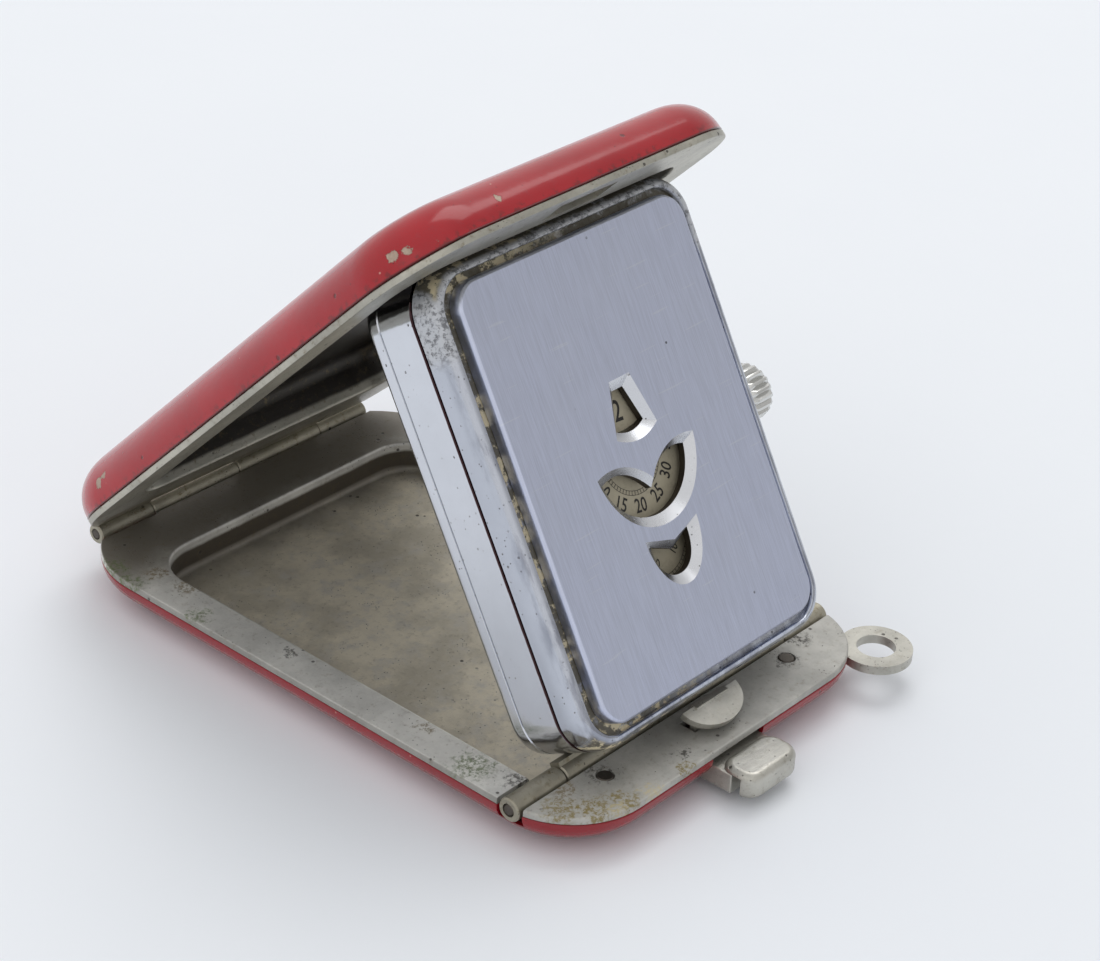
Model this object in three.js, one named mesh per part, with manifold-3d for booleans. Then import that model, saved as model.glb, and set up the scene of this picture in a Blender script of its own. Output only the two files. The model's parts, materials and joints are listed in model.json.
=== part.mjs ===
// A folding purse watch: an enamelled clam case, open, with a rectangular watch standing inside it.
// Millimetres. +X runs along the hinges towards the crown, -Y is the front with the push button,
// +Z is up. The origin is the centre of the flat underside.
import * as THREE from "three";
import { mergeVertices } from "three/addons/utils/BufferGeometryUtils.js";
import Module from "manifold-3d";

const wasm = await Module();
wasm.setup();

// ---- driving dimensions ----

// case plan: one outline for base and cover, cut straight along the rear hinge
const CASE_W = 34;
const CASE_L = 50;
const FRONT_R = 6.5;
const REAR_R = 8;
const REAR_CUT = 6; // from the centres of the rear corners to the straight cut
const GAP = 0.05; // fixed pieces that lie against each other
const ABOVE_BASE = 9; // a height that clears everything in the base, for cutters

// base
const BASE_H = 3.4;
const FLANGE_T = 0.55;
const SHELL_T = 0.3;
const BASE_EDGE_W = 5;
const BASE_EDGE_H = 2.75;
const POCKET_W = 27.6;
const POCKET_REAR_Y = 20;
const POCKET_R = 3.5;
const BASE_FLOOR_Z = 0.85; // inside floor of the pocket
const LINER_T = 0.2;

// front hinge, which carries the watch
const FRONT_HINGE_Y = -19;
const FRONT_HINGE_Z = 2.9;
const KNUCKLE_R = 0.9;
const KNUCKLE_BORE_R = 0.5;
const PIN_R = 0.45;
const WATCH_KNUCKLE_HALF = 11.9;
const CHANNEL_HALF = 1.05; // open channel on each side of the front hinge axis
const PLATE_REAR_Y = FRONT_HINGE_Y - CHANNEL_HALF;
const CHANNEL_REAR_Y = FRONT_HINGE_Y + CHANNEL_HALF;

// rear hinge, which carries the cover
const REAR_HINGE_Y = CASE_L / 2 + 0.9;
const REAR_HINGE_Z = 3.2;
const REAR_KNUCKLE_R = 0.8;
const KNUCKLE_STEPS = [-14.1, -8.85, 0, 8.85, 14.1]; // cover, base, cover, base
const LEAF_T = 0.4;
const LEAF_L = 2.75; // from the hinge axis to the far edge of a leaf
const LEAF_STRIP_L = 1.6; // part of a leaf that joins its knuckles
const REAR_BORE_R = 0.45;
const REAR_PIN_R = 0.4;

// pose in which the object stands
const COVER_ANGLE = THREE.MathUtils.degToRad(45.2);
const WATCH_ANGLE = THREE.MathUtils.degToRad(60.3);

// cover, measured from the rear hinge axis in the closed pose
const COVER_RIM_Z = 0.35;
const COVER_FLANGE_T = 0.5;
const COVER_TOP_Z = 4.3;
const COVER_EDGE_W = 3.3;
const COVER_EDGE_H = 3.3;
const COVER_SHELL_T = 0.35;
const COVER_FLOOR_Z = 3.7;
const COVER_LINER_T = 0.18;
const COVER_POCKET_NEAR = 6;
const COVER_POCKET_FAR = 46.3;
const COVER_POCKET_EDGE = 1.2;
const PANEL_W = 25;
const PANEL_L = 38;
const PANEL_T = 0.2;
const PANEL_R = 3;

// catch and push button
const BUTTON_TRAVEL = 0.7;
const BUTTON_HALF_W = 2.8;
const BUTTON_FRONT_Y = -28.5;
const BUTTON_TOP_Z = 2.8;
const BUTTON_BOTTOM_Z = 0.75;
const GUIDE_FRONT_Y = -26.6;
const GUIDE_HALF_W = 2.75;
const GUIDE_TOP_Z = 2.3;
const GUIDE_REAR_Y = -23.4;
const BAR_HALF_W = 1.5;
const BAR_Z = [1.2, 1.8];
const HOOK_Y = -22.2;
const HOOK_T = 0.5;
const HOOK_HALF_W = 1.7;
const HOOK_HEAD_HALF_W = 2.9;
const HOOK_NECK_Z = 5.3;
const HOOK_HEAD_L = 2.2;
const HOOK_SLOPE = Math.PI / 8;

// bail loop
const BAIL_R = 2.7;
const BAIL_HOLE_R = 1.45;
const BAIL_Z = [2.1, 2.8];
const BAIL_REACH = 8.65; // from the centre of the corner to the centre of the loop
const BAIL_SHANK_W = 2.4;
const BAIL_SHANK_L = 4.75;

// watch, measured from the front hinge axis: x across, y up its face, z out of its face
const BODY_HALF_W = 13.05;
const BODY_Y = [1.15, 35.3];
const BODY_R = 3.2;
const BACK_Z = -2;
const SEAM_Z = -0.4;
const BAND_TOP_Z = 3.9;
const RIDGE_Z = 5.2;
const LEDGE_Z = 4.7;
const FACE_Z = 5.85;
const FACE_HALF_W = 11.5;
const FACE_Y = [2.55, 33.9];
const FACE_R = 2;
const BAND_T = 0.9;
const CROWN_Y = 17.8;
const CROWN_Z = 1.9;
const CROWN_R = 2.15;
const CROWN_X = [13.85, 16.4];

// display discs: centre height, radius, and the level of each disc
const HOUR = { y: 26.3, r: 6.2, z: 4.42 };
const MINUTE = { y: 18.4, r: 5, z: 4.12 };
const SECONDS = { y: 12.6, r: 3.4, z: 3.82 };
const DISC_T = 0.18;
const ARBOR_R = 0.3;
const TRAIN_ARBOR_R = 0.25;

// movement
const MAIN_PLATE_Z = [2.5, 3.2];
const BRIDGE_Z = [-1.3, -0.7];

// ---- helpers ----

const group = new THREE.Group();

function toSolid(geometry) {
  const plain = geometry.clone();
  plain.deleteAttribute("normal");
  plain.deleteAttribute("uv");
  const merged = mergeVertices(plain, 1e-4);
  const mesh = new wasm.Mesh({
    numProp: 3,
    vertProperties: new Float32Array(merged.attributes.position.array),
    triVerts: new Uint32Array(merged.index.array),
  });
  return new wasm.Manifold(mesh);
}

function toGeometry(solid) {
  const mesh = solid.getMesh();
  const geometry = new THREE.BufferGeometry();
  geometry.setAttribute("position", new THREE.BufferAttribute(new Float32Array(mesh.vertProperties), 3));
  geometry.setIndex(new THREE.BufferAttribute(new Uint32Array(mesh.triVerts), 1));
  geometry.computeVertexNormals();
  return geometry;
}

function addPiece(parent, name, solid, look) {
  const material = new THREE.MeshStandardMaterial(look);
  const mesh = new THREE.Mesh(toGeometry(solid), material);
  mesh.name = name;
  parent.add(mesh);
  return mesh;
}

function cutAll(solid, cutters) {
  return cutters.reduce((rest, cutter) => rest.subtract(cutter), solid);
}

function joinAll(solids) {
  return solids.reduce((all, next) => all.add(next));
}

function box(x, y, z) {
  const geometry = new THREE.BoxGeometry(x[1] - x[0], y[1] - y[0], z[1] - z[0]);
  geometry.translate((x[0] + x[1]) / 2, (y[0] + y[1]) / 2, (z[0] + z[1]) / 2);
  return toSolid(geometry);
}

function rodX(radius, x, y, z, sides = 24) {
  const geometry = new THREE.CylinderGeometry(radius, radius, x[1] - x[0], sides);
  geometry.rotateZ(Math.PI / 2);
  geometry.translate((x[0] + x[1]) / 2, y, z);
  return toSolid(geometry);
}

function rodZ(radius, x, y, z, sides = 24) {
  const geometry = new THREE.CylinderGeometry(radius, radius, z[1] - z[0], sides);
  geometry.rotateX(Math.PI / 2);
  geometry.translate(x, y, (z[0] + z[1]) / 2);
  return toSolid(geometry);
}

function roundedRect(x, y, radius, inset = 0) {
  if (inset > 0) {
    return roundedRect([x[0] + inset, x[1] - inset], [y[0] + inset, y[1] - inset], radius - inset);
  }
  const shape = new THREE.Shape();
  shape.absarc(x[1] - radius, y[0] + radius, radius, -Math.PI / 2, 0);
  shape.absarc(x[1] - radius, y[1] - radius, radius, 0, Math.PI / 2);
  shape.absarc(x[0] + radius, y[1] - radius, radius, Math.PI / 2, Math.PI);
  shape.absarc(x[0] + radius, y[0] + radius, radius, Math.PI, Math.PI * 1.5);
  shape.closePath();
  return shape;
}

// the outline shared by base and cover: full front corners, rear corners cut by the hinge line
function caseOutline(inset) {
  const halfW = CASE_W / 2;
  const front = -CASE_L / 2;
  const rear = CASE_L / 2;
  const frontX = halfW - FRONT_R;
  const rearX = halfW - REAR_R;
  const cut = rear - REAR_CUT;
  const cutAngle = Math.asin((REAR_CUT - inset) / (REAR_R - inset));
  const shape = new THREE.Shape();
  shape.absarc(frontX, front + FRONT_R, FRONT_R - inset, -Math.PI / 2, 0);
  shape.absarc(rearX, cut, REAR_R - inset, 0, cutAngle);
  shape.absarc(-rearX, cut, REAR_R - inset, Math.PI - cutAngle, Math.PI);
  shape.absarc(-frontX, front + FRONT_R, FRONT_R - inset, Math.PI, Math.PI * 1.5);
  shape.closePath();
  return shape;
}

function slab(shape, z, curveSegments = 4) {
  const geometry = new THREE.ExtrudeGeometry(shape, {
    depth: z[1] - z[0],
    bevelEnabled: false,
    curveSegments,
  });
  geometry.translate(0, 0, z[0]);
  return toSolid(geometry);
}

// a slab whose lower and upper rims are rounded; outline gives its shape at any inset
function pillow(outline, z, edgeW, edgeH, steps = 4, curveSegments = 4) {
  const geometry = new THREE.ExtrudeGeometry(outline(edgeW), {
    depth: z[1] - z[0] - 2 * edgeH,
    bevelEnabled: true,
    bevelThickness: edgeH,
    bevelSize: edgeW,
    bevelSegments: steps,
    curveSegments,
  });
  geometry.translate(0, 0, z[0] + edgeH);
  return toSolid(geometry);
}

function everywhere(z) {
  const reach = 80;
  return box([-reach, reach], [-reach, reach], z);
}

// a flat wheel whose rim repeats the given corners, each a share of the pitch and a radius
function rimmedDisc(count, corners, z, x = 0, y = 0) {
  const shape = new THREE.Shape();
  const points = [];
  for (let index = 0; index < count; index += 1) {
    for (const [share, radius] of corners) {
      const angle = ((index + share) * 2 * Math.PI) / count;
      points.push(new THREE.Vector2(radius * Math.cos(angle), radius * Math.sin(angle)));
    }
  }
  shape.setFromPoints(points);
  return slab(shape, z).translate([x, y, 0]);
}

function toothedDisc(teeth, tipR, rootR, z, x, y) {
  return rimmedDisc(teeth, [[0, rootR], [0.5, tipR]], z, x, y);
}

// ---- looks ----

const ENAMEL = { color: 0xb3202a, roughness: 0.22, metalness: 0 };
const NICKEL = { color: 0xa09b8c, roughness: 0.42, metalness: 1 };
const CHROME = { color: 0xc9cbd2, roughness: 0.12, metalness: 1 };
const STEEL = { color: 0x9a9ca8, roughness: 0.38, metalness: 1 };
const BRASS = { color: 0xb59a5b, roughness: 0.35, metalness: 1 };
const DISC = { color: 0xb6aa8b, roughness: 0.5, metalness: 0.6 };
const BLUED = { color: 0x2c3a5c, roughness: 0.3, metalness: 1 };

// ---- base ----

const baseGroup = new THREE.Group();
group.add(baseGroup);

const halfW = CASE_W / 2;
const frontY = -CASE_L / 2;
const rearY = CASE_L / 2;
const flangeZ = [BASE_H - FLANGE_T, BASE_H];
const shellTopZ = flangeZ[0] - GAP;
const pocketX = [-POCKET_W / 2, POCKET_W / 2];
const hingeChannel = box(
  [-halfW - 1, halfW + 1],
  [PLATE_REAR_Y, CHANNEL_REAR_Y],
  [FRONT_HINGE_Z - CHANNEL_HALF, ABOVE_BASE],
);
const bailCentreX = halfW - FRONT_R + BAIL_REACH * Math.SQRT1_2;
const bailCentreY = frontY + FRONT_R - BAIL_REACH * Math.SQRT1_2;

// recess in the rim that takes the crown, also pulled out, while the watch lies in the base
const crownNotch = rodX(
  CROWN_R + 0.25,
  [halfW - 4, halfW + 1],
  FRONT_HINGE_Y + CROWN_Y,
  FRONT_HINGE_Z + CROWN_Z,
);

// a bar from the centre of the loop towards the centre of the case's corner
function bailShank(width, z, length) {
  const geometry = new THREE.BoxGeometry(width, length, z[1] - z[0]);
  geometry.translate(0, length / 2, (z[0] + z[1]) / 2);
  geometry.rotateZ(Math.PI / 4);
  geometry.translate(bailCentreX, bailCentreY, 0);
  return toSolid(geometry);
}

function baseShell() {
  const outer = pillow(caseOutline, [0, 12], BASE_EDGE_W, BASE_EDGE_H, 6);
  const innerOutline = (inset) => caseOutline(SHELL_T + inset);
  const inner = pillow(innerOutline, [SHELL_T, 12], BASE_EDGE_W - 0.1, BASE_EDGE_H - 0.1, 6);
  const buttonSlot = box(
    [-GUIDE_HALF_W - GAP, GUIDE_HALF_W + GAP],
    [frontY - 5, frontY + 5],
    [BUTTON_BOTTOM_Z - GAP, ABOVE_BASE],
  );
  const bailSlot = bailShank(BAIL_SHANK_W + 0.2, [BAIL_Z[0] - GAP, ABOVE_BASE], BAIL_SHANK_L + 0.5);
  const ringRoom = rodZ(BAIL_R + GAP, bailCentreX, bailCentreY, [BAIL_Z[0] - GAP, ABOVE_BASE], 32);
  const leafSlot = box(
    [KNUCKLE_STEPS[1] - GAP, KNUCKLE_STEPS[4] + GAP],
    [rearY - 1, rearY + 1],
    [shellTopZ - LEAF_T - GAP, ABOVE_BASE],
  );
  const solid = outer.subtract(inner).intersect(everywhere([-1, shellTopZ]));
  return cutAll(solid, [hingeChannel, buttonSlot, bailSlot, ringRoom, leafSlot, crownNotch]);
}

function baseFrame() {
  const flange = slab(caseOutline(0), flangeZ);
  const pocketShape = roundedRect(pocketX, [CHANNEL_REAR_Y - 6, POCKET_REAR_Y], POCKET_R);
  const wallX = [pocketX[0] - LINER_T, pocketX[1] + LINER_T];
  const wallShape = roundedRect(wallX, [CHANNEL_REAR_Y - 6, POCKET_REAR_Y + LINER_T], POCKET_R + LINER_T);
  const tub = slab(wallShape, [BASE_FLOOR_Z - LINER_T, flangeZ[1]]);
  const hollow = slab(pocketShape, [BASE_FLOOR_Z, BASE_H + 1]);
  const acrossX = [-halfW - 1, halfW + 1];
  const frontPart = box(acrossX, [frontY - 8, CHANNEL_REAR_Y], [-1, ABOVE_BASE]);
  const gapX = [KNUCKLE_STEPS[0] - 1, KNUCKLE_STEPS[1]];
  const gapNotch = box(gapX, [rearY - 0.3, rearY + 1], [-1, ABOVE_BASE]);
  return cutAll(flange.add(tub), [hollow, frontPart, gapNotch, crownNotch]);
}

function frontPlate() {
  const plate = slab(caseOutline(0), flangeZ);
  const acrossX = [-halfW - 1, halfW + 1];
  const rearPart = box(acrossX, [PLATE_REAR_Y - GAP, rearY + 1], [-1, ABOVE_BASE]);
  const hookSlot = box(
    [-HOOK_HALF_W - 0.15, HOOK_HALF_W + 0.15],
    [HOOK_Y - HOOK_T / 2 - 0.12, HOOK_Y + HOOK_T / 2 + BUTTON_TRAVEL + 0.12],
    [-1, ABOVE_BASE],
  );
  return cutAll(plate, [rearPart, hookSlot, ...screwHoles()]);
}

// plate screws and the bearers they hold to
const SCREW_X = 10;
const SCREW_Y = -21.4;
const SCREW_HEAD_R = 0.62;
const SCREW_SHANK_R = 0.35;
const SCREW_HEAD_H = 0.3;
const BEARER_X = [4, 12];
const BEARER_Y = [-22.6, -20.3];
const BEARER_Z = [1.15, shellTopZ];

function screwProfile(x, extra) {
  const shank = rodZ(SCREW_SHANK_R + extra, x, SCREW_Y, [1.4 - extra, BASE_H - 0.1], 16);
  const headZ = [BASE_H - SCREW_HEAD_H - extra, BASE_H + extra];
  const head = rodZ(SCREW_HEAD_R + extra, x, SCREW_Y, headZ, 24);
  return shank.add(head);
}

function screwHoles() {
  return [-SCREW_X, SCREW_X].map((x) => screwProfile(x, GAP));
}

function plateScrew(x) {
  const slot = box([x - 1, x + 1], [SCREW_Y - 0.09, SCREW_Y + 0.09], [BASE_H - 0.15, BASE_H + 1]);
  return screwProfile(x, 0).subtract(slot);
}

function bearer(side) {
  const x = side < 0 ? [-BEARER_X[1], -BEARER_X[0]] : BEARER_X;
  return cutAll(box(x, BEARER_Y, BEARER_Z), screwHoles());
}

function bailLoop() {
  const ring = rodZ(BAIL_R, bailCentreX, bailCentreY, BAIL_Z, 40);
  const hole = rodZ(BAIL_HOLE_R, bailCentreX, bailCentreY, [0, ABOVE_BASE], 32);
  return ring.add(bailShank(BAIL_SHANK_W, BAIL_Z, BAIL_SHANK_L)).subtract(hole);
}

function frontKnuckle(x) {
  const tube = rodX(KNUCKLE_R, x, FRONT_HINGE_Y, FRONT_HINGE_Z);
  const bore = rodX(KNUCKLE_BORE_R, [x[0] - 1, x[1] + 1], FRONT_HINGE_Y, FRONT_HINGE_Z);
  return tube.subtract(bore);
}

addPiece(baseGroup, "base_shell", baseShell(), ENAMEL);
addPiece(baseGroup, "base_frame", baseFrame(), NICKEL);
addPiece(baseGroup, "front_plate", frontPlate(), NICKEL);
addPiece(baseGroup, "bail_loop", bailLoop(), NICKEL);
for (const [side, word] of [[-1, "left"], [1, "right"]]) {
  addPiece(baseGroup, `plate_screw_${word}`, plateScrew(side * SCREW_X), STEEL);
  addPiece(baseGroup, `plate_bearer_${word}`, bearer(side), NICKEL);
  const ends = [side * (WATCH_KNUCKLE_HALF + 0.1), side * halfW].sort((a, b) => a - b);
  addPiece(baseGroup, `front_knuckle_${word}`, frontKnuckle(ends), NICKEL);
}
const frontPin = rodX(PIN_R, [-halfW, halfW], FRONT_HINGE_Y, FRONT_HINGE_Z);
addPiece(baseGroup, "front_hinge_pin", frontPin, STEEL);

// ---- push button and catch ----

function buttonGuide() {
  const sleeve = box(
    [-GUIDE_HALF_W, GUIDE_HALF_W],
    [GUIDE_FRONT_Y, GUIDE_REAR_Y],
    [BUTTON_BOTTOM_Z, GUIDE_TOP_Z],
  );
  const bore = box(
    [-BAR_HALF_W - 0.08, BAR_HALF_W + 0.08],
    [GUIDE_FRONT_Y - 1, GUIDE_REAR_Y + 1],
    [BAR_Z[0] - 0.08, BAR_Z[1] + 0.08],
  );
  return sleeve.subtract(bore);
}

function catchSlider() {
  const noseDepth = 1.1;
  const noseX = [-BUTTON_HALF_W, BUTTON_HALF_W];
  const noseShape = (inset) => roundedRect(noseX, [BUTTON_FRONT_Y, frontY - 0.3], 1.2, inset);
  const nose = pillow(noseShape, [BUTTON_BOTTOM_Z, BUTTON_TOP_Z], 0.45, 0.45, 3, 5);
  const undercut = box(
    [-BUTTON_HALF_W - 1, BUTTON_HALF_W + 1],
    [BUTTON_FRONT_Y + noseDepth, frontY + 5],
    [0, GUIDE_TOP_Z + 0.06],
  );
  const bar = box([-BAR_HALF_W, BAR_HALF_W], [BUTTON_FRONT_Y + 1, HOOK_Y + HOOK_T / 2], BAR_Z);
  const stemY = [HOOK_Y - HOOK_T / 2, HOOK_Y + HOOK_T / 2];
  const stem = box([-HOOK_HALF_W, HOOK_HALF_W], stemY, [BAR_Z[0], HOOK_NECK_Z]);
  return joinAll([nose.subtract(undercut), bar, stem, hookHead()]);
}

// half-moon head that slopes down to the front from the top of the stem
function hookHead() {
  const shape = new THREE.Shape();
  shape.absellipse(0, 0, HOOK_HEAD_HALF_W, HOOK_HEAD_L, Math.PI, 2 * Math.PI);
  shape.closePath();
  const options = { depth: HOOK_T, bevelEnabled: false, curveSegments: 12 };
  const geometry = new THREE.ExtrudeGeometry(shape, options);
  geometry.rotateX(HOOK_SLOPE);
  geometry.translate(0, HOOK_Y + HOOK_T / 2, HOOK_NECK_Z - HOOK_T);
  return toSolid(geometry);
}

// flat wave spring behind the stem of the hook, and the bar it pushes against
const STOP_Y = [-20.4, -20.12];

function buttonSpring() {
  const first = HOOK_Y + HOOK_T / 2 + GAP;
  const last = STOP_Y[0] - GAP;
  const waves = 6;
  const wire = 0.12;
  const reach = 1.1;
  const step = (last - first - wire) / waves;
  const limbs = [];
  for (let wave = 0; wave < waves; wave += 1) {
    const side = wave % 2 === 0 ? -reach : reach;
    const start = first + wave * step;
    const limb = new THREE.Shape();
    limb.moveTo(side, start);
    limb.lineTo(-side, start + step);
    limb.lineTo(-side, start + step + wire);
    limb.lineTo(side, start + wire);
    limb.closePath();
    limbs.push(slab(limb, [BAR_Z[0] + 0.1, BAR_Z[1] - 0.1]));
  }
  return joinAll(limbs);
}

const springStop = box([-3.5, 3.5], STOP_Y, [BASE_FLOOR_Z, shellTopZ]);
addPiece(baseGroup, "spring_stop", springStop, NICKEL);
addPiece(baseGroup, "button_guide", buttonGuide(), NICKEL);
addPiece(baseGroup, "button_catch", catchSlider(), NICKEL);
addPiece(baseGroup, "button_spring", buttonSpring(), STEEL);

// ---- rear hinge ----

function rearKnuckles(spans, leafCentreZ) {
  const leafZ = [leafCentreZ - LEAF_T / 2, leafCentreZ + LEAF_T / 2];
  const tubes = spans.map((x) => rodX(REAR_KNUCKLE_R, x, 0, 0));
  const webs = spans.map((x) => box(x, [-LEAF_L, 0], leafZ));
  const strip = box([spans[0][0], spans.at(-1)[1]], [-LEAF_L, -LEAF_L + LEAF_STRIP_L], leafZ);
  const bore = rodX(REAR_BORE_R, [-halfW, halfW], 0, 0);
  return joinAll([...tubes, ...webs, strip]).subtract(bore);
}

const knuckleSpans = [0, 1, 2, 3].map((index) => {
  return [KNUCKLE_STEPS[index] + GAP / 2, KNUCKLE_STEPS[index + 1] - GAP / 2];
});
const rearHingeBase = new THREE.Group();
rearHingeBase.position.set(0, REAR_HINGE_Y, REAR_HINGE_Z);
baseGroup.add(rearHingeBase);
const baseLeafZ = flangeZ[0] - REAR_HINGE_Z - GAP - LEAF_T / 2;
const baseLeaf = rearKnuckles([knuckleSpans[1], knuckleSpans[3]], baseLeafZ);
addPiece(rearHingeBase, "rear_hinge_base_leaf", baseLeaf, NICKEL);
const rearPin = rodX(REAR_PIN_R, [KNUCKLE_STEPS[0], KNUCKLE_STEPS[4]], 0, 0);
addPiece(rearHingeBase, "rear_hinge_pin", rearPin, STEEL);

// ---- cover, built closed about the rear hinge axis and then opened ----

const coverGroup = new THREE.Group();
coverGroup.position.set(0, REAR_HINGE_Y, REAR_HINGE_Z);
coverGroup.rotation.x = -COVER_ANGLE;
group.add(coverGroup);

const coverOffset = [0, -REAR_HINGE_Y, 0];
const coverFlangeZ = [COVER_RIM_Z, COVER_RIM_Z + COVER_FLANGE_T];
const coverShellZ = coverFlangeZ[1] + GAP;

// opening in the free end that the hook passes through, and the plate it holds to
const CATCH_Y = [HOOK_Y - REAR_HINGE_Y - 1.7, HOOK_Y - REAR_HINGE_Y + 0.7];
const CATCH_PLATE_Y = [CATCH_Y[0] - 0.1, CATCH_Y[1] + 0.65];
const CATCH_PLATE_HALF_W = 7;

function coverShell() {
  const low = COVER_TOP_Z - 2 * COVER_EDGE_H - 4;
  const outer = pillow(caseOutline, [low, COVER_TOP_Z], COVER_EDGE_W, COVER_EDGE_H, 6);
  const inner = pillow(
    (inset) => caseOutline(COVER_SHELL_T + inset),
    [low, COVER_TOP_Z - COVER_SHELL_T],
    COVER_EDGE_W - 0.3,
    COVER_EDGE_H - 0.3,
    6,
  );
  const hollow = outer.subtract(inner).translate(coverOffset);
  return hollow.intersect(everywhere([coverShellZ, 20]));
}

function coverFrame() {
  const flange = slab(caseOutline(0), coverFlangeZ).translate(coverOffset);
  const pocketY = [-COVER_POCKET_FAR, -COVER_POCKET_NEAR];
  const wallX = [pocketX[0] - COVER_LINER_T, pocketX[1] + COVER_LINER_T];
  const wallY = [pocketY[0] - COVER_LINER_T, pocketY[1] + COVER_LINER_T];
  const low = -COVER_FLOOR_Z;
  const edge = COVER_POCKET_EDGE;
  const outerShape = (inset) => roundedRect(wallX, wallY, POCKET_R + COVER_LINER_T, inset);
  const innerShape = (inset) => roundedRect(pocketX, pocketY, POCKET_R, inset);
  const outer = pillow(outerShape, [low, COVER_FLOOR_Z + COVER_LINER_T], edge, edge, 4);
  const hollow = pillow(innerShape, [low, COVER_FLOOR_Z], edge, edge, 4);
  const tub = outer.intersect(everywhere([COVER_RIM_Z, 20]));
  const leafRoom = box(
    [KNUCKLE_STEPS[0] - GAP, KNUCKLE_STEPS[3] + GAP],
    [-LEAF_L - GAP, 0],
    [-1, COVER_RIM_Z + LEAF_T + 2 * GAP],
  );
  const catchRoom = box([-HOOK_HEAD_HALF_W - 0.4, HOOK_HEAD_HALF_W + 0.4], CATCH_Y, [-1, 2]);
  return cutAll(flange.add(tub), [hollow, leafRoom, catchRoom]);
}

function coverPanel() {
  const centreY = -REAR_HINGE_Y;
  const panelY = [centreY - PANEL_L / 2, centreY + PANEL_L / 2];
  const shape = roundedRect([-PANEL_W / 2, PANEL_W / 2], panelY, PANEL_R);
  return slab(shape, [COVER_TOP_Z + GAP, COVER_TOP_Z + GAP + PANEL_T]);
}

function catchPlate() {
  const lowZ = coverFlangeZ[1] + GAP;
  const outer = box([-CATCH_PLATE_HALF_W, CATCH_PLATE_HALF_W], CATCH_PLATE_Y, [lowZ, lowZ + 0.35]);
  const slotHalfW = HOOK_HEAD_HALF_W + 0.3;
  const slot = box([-slotHalfW, slotHalfW], [CATCH_Y[0] + 0.6, CATCH_Y[1]], [-1, 9]);
  return outer.subtract(slot);
}

const coverLeafZ = COVER_RIM_Z + GAP + LEAF_T / 2;
const coverLeaf = rearKnuckles([knuckleSpans[0], knuckleSpans[2]], coverLeafZ);
addPiece(coverGroup, "cover_shell", coverShell(), ENAMEL);
addPiece(coverGroup, "cover_frame", coverFrame(), NICKEL);
addPiece(coverGroup, "cover_panel", coverPanel(), ENAMEL);
addPiece(coverGroup, "catch_plate", catchPlate(), NICKEL);
addPiece(coverGroup, "rear_hinge_cover_leaf", coverLeaf, NICKEL);

// ---- watch, built lying back about the front hinge axis and then raised ----

const watchGroup = new THREE.Group();
watchGroup.position.set(0, FRONT_HINGE_Y, FRONT_HINGE_Z);
watchGroup.rotation.x = WATCH_ANGLE;
group.add(watchGroup);

const bodyX = [-BODY_HALF_W, BODY_HALF_W];
const inX = [bodyX[0] + BAND_T, bodyX[1] - BAND_T];
const inY = [BODY_Y[0] + BAND_T, BODY_Y[1] - BAND_T];
const bodyOutline = (inset) => roundedRect(bodyX, BODY_Y, BODY_R, inset);
const inShape = roundedRect(inX, inY, BODY_R - BAND_T);

function watchLeaf() {
  const x = [-WATCH_KNUCKLE_HALF, WATCH_KNUCKLE_HALF];
  const web = box(x, [0, BODY_Y[0] - GAP], [-0.45, 0.45]);
  const tube = rodX(KNUCKLE_R, x, 0, 0);
  return tube.add(web).subtract(rodX(KNUCKLE_BORE_R, [-halfW, halfW], 0, 0));
}

function caseBack() {
  const outer = pillow(bodyOutline, [BACK_Z, BACK_Z + 6], 0.7, 0.7, 3);
  const shell = outer.intersect(everywhere([-9, SEAM_Z - GAP]));
  return shell.subtract(slab(inShape, [BACK_Z + 0.5, 9]));
}

function caseBand() {
  const stemHole = rodX(0.9, [inX[1] - 1, bodyX[1] + 1], CROWN_Y, CROWN_Z);
  return cutAll(slab(bodyOutline(0), [SEAM_Z, BAND_TOP_Z]), [slab(inShape, [-9, 9]), stemHole]);
}

const VALLEY_W = 0.45; // groove round the faceplate
const LEDGE_W = 1.4; // shelf under the faceplate
const bezelIn = { x: FACE_HALF_W + VALLEY_W, y: [FACE_Y[0] - VALLEY_W, FACE_Y[1] + VALLEY_W] };

function bezel() {
  const low = BAND_TOP_Z + GAP;
  const outer = pillow(bodyOutline, [low - 6, RIDGE_Z], 0.8, 0.9, 4).intersect(everywhere([low, 9]));
  const valley = slab(roundedRect([-bezelIn.x, bezelIn.x], bezelIn.y, FACE_R + 0.4), [LEDGE_Z, 9]);
  const holeX = bezelIn.x - LEDGE_W;
  const hole = roundedRect([-holeX, holeX], [bezelIn.y[0] + LEDGE_W, bezelIn.y[1] - LEDGE_W], 1.5);
  return cutAll(outer, [valley, slab(hole, [-9, 9])]);
}

// window outlines on the centre line of the face, each grown by the width of its bevel
function hourWindow(grow) {
  const shape = new THREE.Shape();
  const topY = 23 + grow;
  const topHalf = 0.55 + grow * 0.65;
  const lowHalf = 1.4 + grow * 0.9;
  const lowY = 20.35 - grow * 0.6;
  shape.moveTo(-topHalf, topY);
  shape.lineTo(-lowHalf, lowY);
  shape.quadraticCurveTo(0, lowY - 0.75 - grow * 0.6, lowHalf, lowY);
  shape.lineTo(topHalf, topY);
  shape.closePath();
  return shape;
}

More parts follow.
